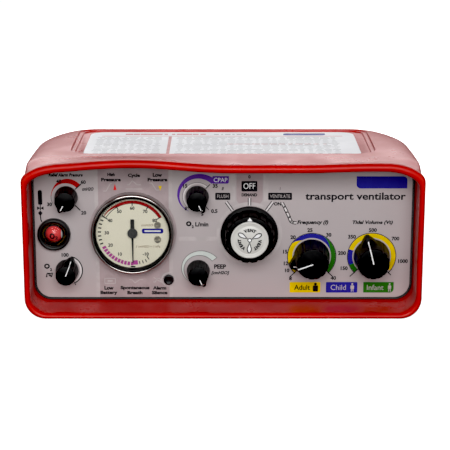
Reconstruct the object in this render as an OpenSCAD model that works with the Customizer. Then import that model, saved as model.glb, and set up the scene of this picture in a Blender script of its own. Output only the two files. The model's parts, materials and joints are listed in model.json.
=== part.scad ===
// Transport ventilator: a moulded case with a recessed control panel.
// X is to the right, Y runs from the front rim to the rear, Z is up.
// The origin is the centre of the base. Depths (v) are measured from the front rim.

/* [Case] */
// Overall width across the front rim
case_w = 220; // [214:1:226]
// Height of the front rim, without the swell over the gauge
case_h = 88.2; // [86:0.1:92]
// Depth from the front rim to the rear face
case_d = 150; // [146:1:156]
// Wall thickness of the case
wall = 2; // [1.8:0.1:2.2]
// Thickness of the floor of the case
floor_t = 3.6; // [3:0.1:4]
// Front thickness of the rim bead
rim_t = 3.4; // [3:0.1:3.8]
// Extra height of the rim bead along the top
brow = 1.4; // [0:0.1:1.6]
// Height of the swell over the gauge
hump_h = 2.9; // [0:0.1:4]
// Fall of the top face towards the rear, in degrees
top_fall = 3.7; // [3:0.1:5]

/* [Panel] */
// Depth of the panel face behind the rim
panel_v = 23.5; // [21:0.5:25]
// Width of the panel
panel_w = 211.4; // [206:0.1:211.4]
// Lower edge of the panel
panel_z0 = 4.7; // [4.6:0.1:6]
// Upper edge of the panel
panel_z1 = 81.6; // [80:0.1:81.8]
// Thickness of the metal panel
panel_t = 2; // [1.5:0.1:3]
// Thickness of the printed overlay
overlay_t = 0.3; // [0.2:0.05:0.5]

/* [Places on the panel] */
// Relief pressure control
relief_at = [-87.3, 64.1]; // [-88:0.1:66]
// Oxygen concentration control
oxygen_at = [-87.9, 21.2]; // [-89:0.1:22]
// Supply gas indicator
indicator_at = [-94.7, 42.6]; // [-95:0.1:43]
// Airway pressure gauge
gauge_at = [-50.6, 43.9]; // [-52:0.1:45]
// Alarm silence button
silence_at = [-30.7, 15.7]; // [-31:0.1:17]
// Positive airway pressure and flow control
cpap_at = [-14.4, 64.3]; // [-15:0.1:65]
// End pressure control
peep_at = [-14.0, 21.0]; // [-15:0.1:22]
// Main selector
selector_at = [14.7, 42.8]; // [13:0.1:44]
// Frequency control
frequency_at = [49.8, 29.4]; // [48:0.1:51]
// Tidal volume control
volume_at = [83.5, 29.5]; // [28:0.1:85]

/* [Knobs] */
// Base radius of the small knobs
small_r = 6.5; // [6:0.1:7]
// Height of the small knobs
small_h = 11; // [9:0.5:13]
// Base radius of the setting knobs
big_r = 10.2; // [9.5:0.1:10.8]
// Height of the setting knobs
big_h = 15; // [13:0.5:17]
// Skirt radius of the selector knob
selector_r = 16.1; // [15:0.1:17]
// Height of the selector knob
selector_h = 12.5; // [11:0.5:14]
// Radius of the selector's white cap
selector_cap_r = 10.5; // [9.5:0.1:11]
// Radius of every spindle
spindle_r = 2; // [1.8:0.1:2.2]
// Radial running clearance of a spindle in its neck
spindle_gap = 0.05; // [0.02:0.01:0.1]

/* [Gauge] */
// Outer radius of the gauge bezel
bezel_r = 23.3; // [22.5:0.1:23.3]
// Distance that the bezel stands in front of the panel
bezel_h = 6.5; // [5.5:0.1:6.5]
// Radius of the visible dial
dial_r = 20.5; // [20.5:0.1:21]
// Gear module of the gauge movement
gear_m = 0.4; // [0.4:0.01:0.42]
// Teeth on the pinion
pinion_n = 10; // [10:1:10]
// Teeth on the whole circle of the sector
sector_n = 60; // [60:1:60]

/* [Ports] */
// Outside radius of the patient outlet
outlet_r = 11; // [10.8:0.1:11.2]
// Bore radius of the patient outlet
outlet_bore_r = 7.5; // [7:0.1:7.7]
// Radius of the gas inlet stub
inlet_r = 8.5; // [8:0.1:9]
// Distance that the ports stand out of the rear face
port_reach = 16; // [14:0.5:18]
// Height of the port centres
port_z = 22; // [21:0.5:23]
// Distance of each port from the middle
port_x = 34; // [33:0.5:36]
// Radius of a thread hole for the rail bracket
insert_hole_r = 2.1; // [1.9:0.1:2.3]
// Spacing of the bracket holes across the base
bracket_x = 100; // [90:5:110]
// Spacing of the bracket holes along the base
bracket_y = 50; // [40:5:60]

/* [Hidden] */

$fn = 64;
front_y = -case_d / 2;
panel_face = panel_v + overlay_t;
panel_back = panel_face + panel_t;
clear = 0.3;

// Shape of the case, along its depth.
shoulder_v = 76;
plan_end = case_d + 2;
plan_power = 2.1;
plan_pull = 68;
ridge_v = 112;
rear_drop = 26;
rear_span = 39;
crown = 1.5;
crown_span = 118;
recess_fall = 4;
recess_z = 86.9;
roof_gap = 2;
bottom_r = 11.5;

function smooth(a, b, v) =
    let (u = min(1, max(0, (v - a) / (b - a)))) u * u * (3 - 2 * u);
function mix(a, b, u) = a + (b - a) * u;
function back_round(v, start, span, drop) =
    v <= start ? 0 : drop * (1 - sqrt(max(0, 1 - pow((v - start) / span, 2))));
// Half width of the body at depth v.
function half_w(v) =
    let (u = max(0, (v - shoulder_v) / (plan_end - shoulder_v)))
    case_w / 2 - 0.8 - 1.6 * v / 75
        - plan_pull * (1 - pow(max(0, 1 - pow(u, plan_power)), 1 / plan_power));
// Height of the top of the body at depth v.
function top_z(v) =
    case_h - 0.6 - v * tan(top_fall) + (v < crown_span ? crown * sin(180 * v / crown_span) : 0)
        - back_round(v, ridge_v, rear_span, rear_drop);
// Height of the inside of the roof at depth v.
function roof_z(v) =
    recess_z - roof_gap - v * tan(recess_fall) - back_round(v, ridge_v, rear_span, rear_drop);
// Swell of the rim line at x.
function bump(x, centre, reach) =
    abs(x - centre) < reach ? pow(cos(90 * (x - centre) / reach), 2) : 0;
function swell(x) = hump_h * bump(x, -50, 55) + 0.9 * bump(x, 83, 40);
// One cross-section: half width w, from zb to zt, top corners rx by rz, bottom corners rb,
// with the part u of the swell on its top line.
function section(w, zb, zt, rx, rz, rb, u) =
    let (right = concat(
            [for (a = [-90 : 22.5 : 0]) [w - rb + rb * cos(a), zb + rb + rb * sin(a)]],
            [for (a = [0 : 15 : 90]) [w - rx + rx * cos(a), zt - rz + rz * sin(a)]]),
        top = [for (i = [1 : 13]) [(w - rx) * (1 - i / 7), zt]],
        left = [for (i = [len(right) - 1 : -1 : 0]) [-right[i][0], right[i][1]]])
    [for (p = concat(right, top, left))
        [p[0], p[1] + u * swell(p[0]) * min(1, max(0, (p[1] - zt + rz) / rz))]];
function ring(v, points) = [for (p = points) [p[0], front_y + v, p[1]]];
// Outer skin at depth v, drawn in by d.
function skin(v, d) =
    let (t = smooth(6, 26, v), s = smooth(5, 110, v))
    ring(v, section(half_w(v) - d, d < 0.5 ? 0 : d * 0.6, top_z(v) - d,
        mix(20, mix(14, 18, s), t), mix(10, mix(4, 6, s), t), bottom_r, 1 - smooth(4, 30, v)));
// Rim bead at depth v, drawn in by d from its outermost line.
function bead(v, d) =
    ring(v, section(case_w / 2 - d, d, case_h - d * (1 + brow / rim_t), 20 - d / 2, 10 - d / 2,
        bottom_r - d / 2, 1));
// Inner skin at depth v.
function lining(v) =
    let (s = smooth(5, 110, v), t = smooth(6, 26, v))
    ring(v, section(half_w(v) - wall, floor_t, roof_z(v),
        mix(17, 14, t), mix(8, 4, t), bottom_r - wall, 1 - smooth(4, 30, v)));

inner_end = case_d - 3;
inner_depths = [inner_end, 144, 139, 132, 122, 110, 96, 80, 60, 40, 26, 18, 10];
outer_depths = [7, 12, 18, 26, 36, 48, 60, 72, 82, 92, 101, 109, 116, 123, 129, 134.5, 139, 143, 146, 148.4];
case_rings = concat(
    [for (v = inner_depths) lining(v)],
    [bead(6, rim_t), bead(3.6, rim_t), bead(1.5, rim_t - 0.25), bead(0.45, rim_t - 1),
     bead(0, rim_t / 2), bead(0.45, 1), bead(1.5, 0.25), bead(3.2, 0), bead(4.6, 0.15)],
    [for (v = outer_depths) skin(v, 0)],
    [skin(case_d - 0.4, 0.8), skin(case_d, 2.2)]);

module tube_of(rings) {
    n = len(rings[0]);
    m = len(rings);
    points = [for (r = rings) for (p = r) p];
    sides = [for (j = [0 : m - 2]) for (i = [0 : n - 1]) for (k = [0, 1])
        let (a = j * n + i, b = j * n + (i + 1) % n)
        k == 0 ? [a, b, b + n] : [a, b + n, a + n]];
    first = [for (i = [n - 1 : -1 : 0]) i];
    last = [for (i = [0 : n - 1]) (m - 1) * n + i];
    polyhedron(points, concat([first], sides, [last]), convexity = 8);
}

// Drawing helpers: 2D shapes lie in the X-Z plane, seen from the front.
module slab(v0, v1) {
    translate([0, front_y + v1, 0]) rotate([90, 0, 0]) linear_extrude(v1 - v0) children();
}
module rod(at, r, v0, v1, sides = $fn) {
    translate([at[0], front_y + v1, at[1]]) rotate([90, 0, 0]) cylinder(h = v1 - v0, r = r, $fn = sides);
}
module turned(at) {
    translate([at[0], front_y, at[1]]) rotate([-90, 0, 0]) rotate_extrude() children();
}
module rounded(x0, x1, y0, y1, r) {
    translate([x0 + r, y0]) square([x1 - x0 - 2 * r, y1 - y0]);
    translate([x0, y0 + r]) square([x1 - x0, y1 - y0 - 2 * r]);
    for (x = [x0 + r, x1 - r]) for (y = [y0 + r, y1 - r]) translate([x, y]) circle(r);
}
module box(x0, x1, v0, v1, z0, z1) {
    translate([x0, front_y + v0, z0]) cube([x1 - x0, v1 - v0, z1 - z0]);
}
// A screw with a domed slotted head, standing on its head along +Z.
module screw(head_r, head_h, shank_r, length) {
    difference() {
        cylinder(h = head_h, r = head_r);
        translate([-head_r, -0.3, -0.01]) cube([2 * head_r, 0.6, head_h * 0.45]);
    }
    translate([0, 0, head_h]) cylinder(h = length, r = shank_r);
}

// Base fixings.
case_screw_places = [for (x = [-78, 78]) for (v = [42, 104]) [x, v]];
bracket_places = [for (x = [-1, 1]) for (y = [-1, 1]) [x * bracket_x / 2, case_d / 2 + y * bracket_y / 2]];
case_head_r = 4;
case_head_h = 1.8;
case_hole_r = 2.2;
insert_r = 3.6;
module at_base(places) {
    for (p = places) translate([p[0], front_y + p[1], 0]) children();
}

// Openings in the rear wall.
outlet_at = [-port_x, port_z];
inlet_at = [port_x, port_z];
battery_at = [0, 42];
battery_r = 7.1;
cell_bore_r = 7.6;
cap_hole_r = 8.6;

module recess_slab(inset, rise) {
    translate([0, front_y, recess_z]) rotate([-recess_fall, 0, 0])
        translate([0, 0, rise]) linear_extrude(9)
            rounded(-86 + inset, 86 - inset, 33 + inset * 0.7, 117 - inset * 0.6, 12 - inset);
}

module protective_case() {
    color([0.73, 0.12, 0.09]) difference() {
        tube_of(case_rings);
        recess_slab(0, 0.8);
        recess_slab(2.5, 0);
        rod(outlet_at, outlet_r + 0.5, inner_end - 1, case_d + 1);
        rod(inlet_at, inlet_r + 0.5, inner_end - 1, case_d + 1);
        rod(battery_at, cap_hole_r, inner_end - 1, case_d + 1);
        at_base(case_screw_places) {
            translate([0, 0, -1]) cylinder(h = floor_t + 2, r = case_hole_r);
            translate([0, 0, -1]) cylinder(h = 1 + case_head_h + 0.2, r = case_head_r + 0.3);
        }
        at_base(bracket_places) translate([0, 0, -1]) cylinder(h = floor_t + 2, r = insert_r);
    }
}

label_t = 0.3;
module instruction_label() {
    color([0.92, 0.92, 0.93]) translate([0, front_y, recess_z]) rotate([-recess_fall, 0, 0])
        translate([0, 0, 0.01]) linear_extrude(label_t) rounded(-79, 78, 37, 112, 9);
}

tray_z = 6;
tray_t = 1.5;
module case_screws() {
    color([0.6, 0.6, 0.62]) at_base(case_screw_places)
        screw(case_head_r, case_head_h, 1.95, tray_z + tray_t + 2.5 - case_head_h);
}

module bracket_inserts() {
    color([0.75, 0.6, 0.3]) at_base(bracket_places) difference() {
        cylinder(h = floor_t + 1.9, r = insert_r - 0.02);
        translate([0, 0, -1]) cylinder(h = floor_t + 4, r = insert_hole_r);
    }
}

// Panel, overlay, seal.
neck_r = 3.2;
neck_gap = 0.2;
control_places = [relief_at, oxygen_at, cpap_at, peep_at, selector_at, frequency_at, volume_at];
light_places = [[-60, 69.7], [-47.5, 69.7], [-35, 69.5], [-60, 16], [-46, 16], [-34.5, 23]];
light_r = 1.5;
button_r = 2.85;
low_screws = [[-98, 9], [30, 9], [98, 9]];
high_screws = [[-98, 71], [98, 71]];
panel_screw_places = concat(low_screws, high_screws);
panel_screw_r = 1.5;
panel_head_r = 2.6;
panel_head_h = 1;
indicator_r = 7.8;
can_r = 19.6;

module panel_outline(inset) {
    rounded(-panel_w / 2 + inset, panel_w / 2 - inset, panel_z0 + inset, panel_z1 - inset, 9 - inset);
}
module panel_holes(screws) {
    for (p = control_places) translate(p) circle(neck_r + neck_gap);
    translate(gauge_at) circle(can_r + neck_gap);
    translate(indicator_at) circle(indicator_r + neck_gap);
    translate(silence_at) circle(button_r + 0.1);
    if (screws) {
        for (p = light_places) translate(p) circle(light_r + 0.15);
        for (p = panel_screw_places) translate(p) circle(panel_screw_r + 0.02);
    }
}
module front_panel() {
    color([0.75, 0.75, 0.77]) difference() {
        slab(panel_face, panel_back) difference() {
            panel_outline(0);
            panel_holes(true);
        }
        for (p = panel_screw_places) rod(p, panel_head_r + 0.05, panel_face - 1, panel_face + panel_head_h + 0.05);
    }
}
module panel_overlay() {
    color([0.72, 0.67, 0.68]) slab(panel_v, panel_face) difference() {
        panel_outline(0.1);
        panel_holes(false);
    }
}
seal_t = 1.2;
seal_lip = 0.85;
module panel_seal() {
    color([0.05, 0.05, 0.05]) difference() {
        union() {
            slab(panel_back + 0.01, panel_back + seal_t) difference() {
                panel_outline(-seal_lip);
                panel_outline(3.5);
            }
            slab(panel_v + 0.1, panel_back + 0.02) difference() {
                panel_outline(-seal_lip);
                panel_outline(-0.02);
            }
        }
        for (p = panel_screw_places) rod(p, panel_screw_r + 0.15, panel_back - 0.5, panel_back + seal_t + 1);
        rod(indicator_at, indicator_r + 0.1, panel_back - 0.5, panel_back + seal_t + 1);
    }
}

// Sheet-metal tray that carries the works.
tray_w = 100.5;
tray_v0 = panel_back + seal_t + 0.2;
tray_v1 = 118;
tray_top = 72;
tray_bend = 84;
tray_rear_w = 84;
tray_rear_top = 56;
module tray_plan() {
    polygon([
        [-tray_w, tray_v0], [tray_w, tray_v0], [tray_w, tray_bend],
        [tray_rear_w, tray_v1], [-tray_rear_w, tray_v1], [-tray_w, tray_bend]]);
}
module chassis_tray() {
    color([0.7, 0.71, 0.73]) difference() {
        translate([0, front_y, tray_z]) union() {
            linear_extrude(tray_t) tray_plan();
            for (x = [-tray_w, tray_w - tray_t])
                translate([x, tray_v0, 0]) cube([tray_t, tray_bend - tray_v0, tray_top - tray_z]);
            translate([-tray_rear_w, tray_v1 - tray_t, 0])
                cube([2 * tray_rear_w, tray_t, tray_rear_top - tray_z]);
            // Lugs that the panel screws run into.
            for (p = low_screws) translate([p[0] - 2.5, tray_v0, 0]) cube([5, tray_t, 5.5]);
            for (p = high_screws) translate([p[0] - 2.5, tray_v0, p[1] - 5 - tray_z]) cube([5, tray_t, 9]);
        }
        rod(indicator_at, indicator_r + 0.8, tray_v0 - 1, 46);
        at_base(case_screw_places) cylinder(h = 20, r = 1.97);
        for (p = panel_screw_places) rod(p, panel_screw_r + 0.02, tray_v0 - 1, tray_v0 + 4);
        rod(outlet_at, outlet_bore_r + 2.4, tray_v1 - 3, tray_v1 + 1);
        rod(inlet_at, inlet_r + 0.4, tray_v1 - 3, tray_v1 + 1);
        rod(battery_at, cell_bore_r + 2, tray_v1 - 3, tray_v1 + 1);
        at_base(bracket_places) cylinder(h = 20, r = insert_r + 0.5);
    }
}
module chassis_screws() {
    color([0.6, 0.6, 0.62]) for (p = panel_screw_places)
        translate([p[0], front_y + panel_face + 0.01, p[1]]) rotate([-90, 0, 0])
            screw(panel_head_r, panel_head_h, panel_screw_r, panel_t + seal_t + 2.5);
}

// Airway pressure gauge.
can_t = 0.8;
can_back = 54;
can_flange = 1.2;
dial_v = panel_v - 2;
dial_screw_spots = [[14, 4.6], [14, -3.8]];
dial_screw_r = 1.9;
arbor_r = 0.7;
arbor_gap = 0.05;
plate_v = [30, 40];
plate_t = 1;
gear_v = 35;
gear_t = 1.6;
pinion_pr = gear_m * pinion_n / 2;
sector_pr = gear_m * sector_n / 2;
sector_at = gauge_at + [0, pinion_pr + sector_pr];
pointer_v = dial_v - 1.3;
module gauge_can() {
    color([0.1, 0.1, 0.1]) difference() {
        union() {
            rod(gauge_at, can_r, panel_v - 0.5, can_back);
            rod(gauge_at, bezel_r - 1.2, panel_v - can_flange, panel_v);
            rod(gauge_at, 3, can_back - 1, can_back + 6);
        }
        rod(gauge_at, can_r - can_t, panel_v - can_flange - 1, can_back - can_t);
        rod(gauge_at, 1.5, can_back - 3, can_back + 7);
    }
}
module gauge_bezel() {
    color([0.8, 0.8, 0.82]) turned(gauge_at) polygon([
        [dial_r, panel_v - bezel_h + 0.5], [dial_r + 0.5, panel_v - bezel_h + 0.1], [bezel_r - 1, panel_v - bezel_h],
        [bezel_r - 0.3, panel_v - bezel_h + 0.5], [bezel_r, panel_v - bezel_h + 1.4], [bezel_r, panel_v],
        [bezel_r - 1.15, panel_v], [bezel_r - 1.15, panel_v - 5.1], [dial_r, panel_v - 5.1]]);
}
module gauge_glass() {
    color([0.9, 0.95, 1, 0.3]) rod(gauge_at, bezel_r - 1.2, panel_v - 5.05, panel_v - 3.9);
}
module gauge_dial() {
    color([0.84, 0.81, 0.73]) difference() {
        rod(gauge_at, dial_r + 0.4, dial_v, panel_v - can_flange - 0.02);
        rod(gauge_at, arbor_r + 0.5, dial_v - 1, panel_v);
        for (p = dial_screw_spots) rod(gauge_at + p, 0.6, dial_v - 1, panel_v);
    }
}
module gauge_dial_screws() {
    color([0.7, 0.68, 0.6]) for (p = dial_screw_spots)
        translate([gauge_at[0] + p[0], front_y + dial_v - 0.62, gauge_at[1] + p[1]]) rotate([-90, 0, 0])
            screw(dial_screw_r, 0.6, 0.58, 7);
}
module gauge_pointer() {
    color([0.1, 0.1, 0.1]) difference() {
        union() {
            rod(gauge_at, 2.8, pointer_v - 0.3, pointer_v + 0.6);
            slab(pointer_v, pointer_v + 0.35) translate(gauge_at) {
                polygon([[-0.55, 0], [0.55, 0], [0.22, -17.3], [-0.22, -17.3]]);
                translate([-1.05, 0]) square([2.1, 8.1]);
            }
        }
        rod(gauge_at, arbor_r, pointer_v, pointer_v + 1);
    }
}
// Spur gear outline with slim straight-sided teeth, from tooth a to tooth b.
module gear_teeth(n, first, count) {
    r = gear_m * n / 2;
    for (i = [first : first + count - 1]) rotate(i * 360 / n)
        polygon([[-gear_m * 0.62, r - gear_m * 1.3], [gear_m * 0.62, r - gear_m * 1.3],
            [gear_m * 0.3, r + gear_m * 0.8], [-gear_m * 0.3, r + gear_m * 0.8]]);
}
module gauge_pinion() {
    color([0.75, 0.6, 0.3]) union() {
        rod(gauge_at, arbor_r, pointer_v + 0.02, plate_v[1] + plate_t - 0.2);
        slab(gear_v, gear_v + gear_t + 0.6) translate(gauge_at) {
            circle(pinion_pr - gear_m);
            rotate(180 / pinion_n) gear_teeth(pinion_n, 0, pinion_n);
        }
    }
}
module gauge_plates() {
    color([0.75, 0.6, 0.3]) difference() {
        union() {
            for (v = plate_v) rod(gauge_at, 16.5, v, v + plate_t);
            for (a = [30, 150, 210, 330]) rod(gauge_at + 14.6 * [cos(a), sin(a)], 1.5, plate_v[0], plate_v[1]);
        }
        for (p = [gauge_at, sector_at]) rod(p, arbor_r + arbor_gap, plate_v[0] - 1, plate_v[1] + 3);
    }
}
module gauge_sector() {
    sweep = [-50, -24, 0, 14];
    color([0.75, 0.6, 0.3]) union() {
        rod(sector_at, arbor_r, plate_v[0] + 0.2, plate_v[1] + plate_t - 0.2);
        slab(gear_v + 0.3, gear_v + 0.3 + gear_t) translate(sector_at) {
            circle(2);
            intersection() {
                difference() {
                    circle(sector_pr - gear_m);
                    circle(sector_pr - gear_m - 1.8);
                }
                polygon(concat([[0, 0]], [for (a = sweep) 20 * [sin(a), -cos(a)]]));
            }
            for (a = [sweep[0] + 6, sweep[3] - 6]) rotate(a)
                translate([-0.8, -sector_pr + gear_m + 1]) square([1.6, sector_pr - gear_m - 1]);
            rotate(180) gear_teeth(sector_n, -8, 11);
        }
    }
}
module gauge_capsule() {
    color([0.78, 0.66, 0.4]) turned(gauge_at) polygon([
        [0, 42.5], [2, 42.5], [2, 43.4], [5, 43.4], [7, 44.2], [9, 43.6], [11, 44.6], [11, 46.4], [9, 47.4],
        [7, 46.8], [5, 47.6], [2.4, 47.6], [2.4, can_back - can_t - 0.02], [1.2, can_back - can_t - 0.02],
        [1.2, 46.6], [5, 46.6], [7, 45.8], [9, 46], [9.8, 45.6], [9, 45], [7, 45.2], [5, 44.4], [0, 44.4]]);
}

// Rotary controls: knob, spindle and valve body.
neck_front = panel_v - 2.2;
nut_h = 1.9;
nut_r = 4.9;
spindle_front = 4;
valve_v0 = panel_back;
module knob_cone(at, r, h) {
    turned(at) polygon([[0, panel_v - h], [r * 0.86, panel_v - h], [r * 0.9, panel_v - h + 0.5],
        [r, panel_v - 0.5], [r, panel_v - 0.3], [0, panel_v - 0.3]]);
}
module knob_hollow(at, depth, h) {
    rod(at, nut_r + 0.5, panel_v - depth, panel_v + 1);
    difference() {
        rod(at, spindle_r + 0.02, panel_v - h + spindle_front - 1, panel_v);
        slab(panel_v - h, panel_v - depth + 1) translate(at) translate([-4, spindle_r * 0.6]) square([8, 4]);
    }
}
module pointer_fin(at, angle, r, reach, h) {
    slab(panel_v - h * 0.45, panel_v - 0.3) translate(at) rotate(-angle)
        polygon([[-r * 0.42, r * 0.8], [r * 0.42, r * 0.8], [r * 0.1, reach], [-r * 0.1, reach]]);
}
module knob(at, angle, r, reach, h) {
    color([0.05, 0.05, 0.05]) difference() {
        union() {
            knob_cone(at, r, h);
            pointer_fin(at, angle, r, reach, h);
        }
        knob_hollow(at, 2.6, h);
    }
}
module spindle(at, h, v1, tip_r, disc_r) {
    color([0.7, 0.71, 0.73]) union() {
        difference() {
            rod(at, spindle_r, panel_v - h + spindle_front, v1 - 6);
            slab(panel_v - h, panel_v - 2.5) translate(at) translate([-4, spindle_r * 0.6 - 0.02]) square([8, 4]);
        }
        rod(at, disc_r, v1 - 13, v1 - 10);
        turned(at) polygon([[0, v1 - 6.5], [tip_r, v1 - 6.5], [tip_r, v1 - 5], [0.5, v1 - 1], [0, v1 - 1]]);
    }
}
module valve_body(at, r, v1, disc_r, square_body = false) {
    color([0.74, 0.62, 0.34]) difference() {
        union() {
            rod(at, neck_r, neck_front, valve_v0 + 1);
            if (square_body) slab(valve_v0 + 0.01, v1) translate(at) rounded(-r, r, -r, r, 1.5);
            else rod(at, r, valve_v0 + 0.01, v1);
            rod(at, 2.4, v1 - 0.5, v1 + 6);
        }
        rod(at, spindle_r + spindle_gap, neck_front - 1, v1 - 8);
        rod(at, disc_r + 0.4, v1 - 14, v1 - 3);
        rod(at, 1.3, v1 - 4, v1 + 7);
    }
}
small_reach = 8.9;
big_reach = 13.2;
valve_back = 50;
module relief_knob() knob(relief_at, 207, small_r, small_reach, small_h);
module relief_spindle() spindle(relief_at, small_h, valve_back, 2, 4.2);
module relief_valve_body() valve_body(relief_at, 7.6, valve_back, 4.2);
module oxygen_knob() knob(oxygen_at, 21.6, small_r, small_reach, small_h);
module oxygen_spindle() spindle(oxygen_at, small_h, valve_back, 2, 5);
module oxygen_valve_body() valve_body(oxygen_at, 9.5, valve_back, 5, true);
module cpap_knob() knob(cpap_at, 155, small_r, small_reach, small_h);
module cpap_spindle() spindle(cpap_at, small_h, valve_back, 2, 4.2);
module cpap_valve_body() valve_body(cpap_at, 7.6, valve_back, 4.2);
module peep_knob() knob(peep_at, 155, small_r, small_reach, small_h);
module peep_spindle() spindle(peep_at, small_h, valve_back, 2, 4.2);
module peep_valve_body() valve_body(peep_at, 7.6, valve_back, 4.2);
module frequency_knob() knob(frequency_at, 250, big_r, big_reach, big_h);
module frequency_spindle() spindle(frequency_at, big_h, valve_back + 4, 2, 4.6);
module frequency_valve_body() valve_body(frequency_at, 9, valve_back + 4, 4.6);
module volume_knob() knob(volume_at, -14, big_r, big_reach, big_h);
module volume_spindle() spindle(volume_at, big_h, valve_back + 4, 2, 4.6);
module volume_valve_body() valve_body(volume_at, 9, valve_back + 4, 4.6);

flutes = 16;
flute_r = 1.6;
cap_t = 1.2;
selector_body_r = 14;
module selector_knob() {
    skirt_h = 2.6;
    color([0.05, 0.05, 0.05]) difference() {
        union() {
            turned(selector_at) polygon([[0, panel_v - skirt_h], [selector_r - 1, panel_v - skirt_h],
                [selector_r, panel_v - 1.4], [selector_r, panel_v - 0.3], [0, panel_v - 0.3]]);
            turned(selector_at) polygon([[0, panel_v - selector_h], [selector_body_r - 1, panel_v - selector_h],
                [selector_body_r, panel_v - selector_h + 1], [selector_body_r, panel_v - 1], [0, panel_v - 1]]);
        }
        for (i = [1 : flutes - 1]) let (a = 90 - i * 360 / flutes)
            rod(selector_at + (selector_body_r + 1) * [cos(a), sin(a)], flute_r,
                panel_v - selector_h - 1, panel_v - skirt_h - 0.5, 24);
        rod(selector_at, selector_cap_r + 0.05, panel_v - selector_h - 1, panel_v - selector_h + cap_t);
        knob_hollow(selector_at, 2.6, selector_h);
    }
}
module selector_cap() {
    color([0.93, 0.93, 0.93]) rod(selector_at, selector_cap_r, panel_v - selector_h - 0.1, panel_v - selector_h + cap_t - 0.02);
}
module selector_spindle() spindle(selector_at, selector_h, valve_back + 6, 2, 8);
module selector_valve_body() valve_body(selector_at, 13, valve_back + 6, 8);

module spindle_nuts() {
    color([0.7, 0.7, 0.72]) for (p = control_places) difference() {
        rod(p, nut_r, panel_v - nut_h, panel_v - 0.01, 6);
        rod(p, neck_r + 0.02, panel_v - nut_h - 1, panel_v + 1);
    }
}

// Supply gas indicator: a two-coloured ball turns behind a clear dome.
drum_r = 5;
module indicator_bezel() {
    color([0.05, 0.05, 0.05]) turned(indicator_at) polygon([
        [7, panel_v - 2.6], [8.4, panel_v - 3], [9.1, panel_v - 2.4], [9.3, panel_v - 1.4], [9.3, panel_v],
        [indicator_r, panel_v], [indicator_r, panel_back + 6], [6.6, panel_back + 6], [6.6, panel_v - 1.6], [7, panel_v - 1.8]]);
}
module indicator_lens() {
    color([0.95, 0.95, 1, 0.3]) turned(indicator_at) polygon(concat(
        [for (a = [0 : 10 : 90]) [6.3 * sin(a), panel_v - 1.4 - 3.2 * cos(a)]],
        [[6.55, panel_v - 1.4], [6.55, panel_v - 0.6], [5.6, panel_v - 0.6]],
        [for (a = [90 : -15 : 0]) [5.6 * sin(a), panel_v - 1.2 - 2.6 * cos(a)]]));
}
drum_v = panel_v + 2.1;
module indicator_ball() {
    color([0.75, 0.08, 0.08]) translate([indicator_at[0], front_y + drum_v, indicator_at[1]]) union() {
        sphere(drum_r);
        rotate([0, 90, 0]) translate([0, 0, -6.3]) cylinder(h = 12.6, r = 1);
    }
}
module indicator_cylinder() {
    color([0.74, 0.62, 0.34]) difference() {
        union() {
            rod(indicator_at, 6.5, panel_v + 1, panel_back + 14);
            rod(indicator_at, 2.2, panel_back + 13, panel_back + 18);
        }
        rod(indicator_at, drum_r + 0.4, panel_v, drum_v + drum_r + 0.5);
        rod(indicator_at, 1.2, drum_v, panel_back + 19);
        translate([indicator_at[0] - 7, front_y + drum_v, indicator_at[1]]) rotate([0, 90, 0])
            cylinder(h = 14, r = 1.05);
    }
}

// Alarm board with its lights, sounder and silence switch.
board_v = panel_back + 2.4;
board_t = 1.6;
button_travel = 1.2;
module silence_button() {
    color([0.08, 0.08, 0.08]) union() {
        rod(silence_at, button_r, panel_v - 1.6, panel_back + 0.3);
        rod(silence_at, 1.2, panel_back, board_v + 2.6);
    }
}
module silence_switch() {
    color([0.2, 0.2, 0.22]) difference() {
        slab(board_v + board_t + 0.01, board_v + board_t + 4.5) translate(silence_at) rounded(-4, 4, -4, 4, 0.6);
        rod(silence_at, 1.5, board_v, board_v + board_t + 3.5);
    }
}
module alarm_board() {
    color([0.1, 0.35, 0.18]) slab(board_v, board_v + board_t) difference() {
        rounded(-75, -24, 8.6, 73.4, 1.5);
        translate(gauge_at) circle(can_r + 1);
        translate(silence_at) circle(1.6);
    }
}
module alarm_lights() {
    color([0.85, 0.85, 0.8]) for (p = light_places) rod(p, light_r, panel_face + 0.1, board_v - 0.01);
}
module alarm_sounder() {
    color([0.08, 0.08, 0.08]) difference() {
        rod([-66, 14.8], 5.8, board_v + board_t + 0.01, board_v + board_t + 6);
        rod([-66, 14.8], 1, board_v + board_t + 3, board_v + board_t + 7);
    }
}

// Cell for the alarm, with a slotted quarter-turn cap on the rear.
module battery_holder() {
    color([0.12, 0.12, 0.12]) difference() {
        rod(battery_at, cell_bore_r + 1.6, 88, inner_end - 0.05);
        rod(battery_at, cell_bore_r, 89.6, inner_end + 1);
    }
}
module battery() {
    color([0.2, 0.3, 0.5]) union() {
        rod(battery_at, battery_r, 92, 139);
        rod(battery_at, 2.6, 90.6, 92.5);
    }
}
module battery_cap() {
    color([0.08, 0.08, 0.08]) difference() {
        union() {
            rod(battery_at, cell_bore_r - 0.08, 140, case_d + 1);
            turned(battery_at) polygon([[0, case_d + clear], [11, case_d + clear], [11, case_d + 1.8],
                [10, case_d + 2.6], [0, case_d + 2.6]]);
        }
        box(battery_at[0] - 8, battery_at[0] + 8, case_d + 1, case_d + 3, battery_at[1] - 1, battery_at[1] + 1);
    }
}

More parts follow.
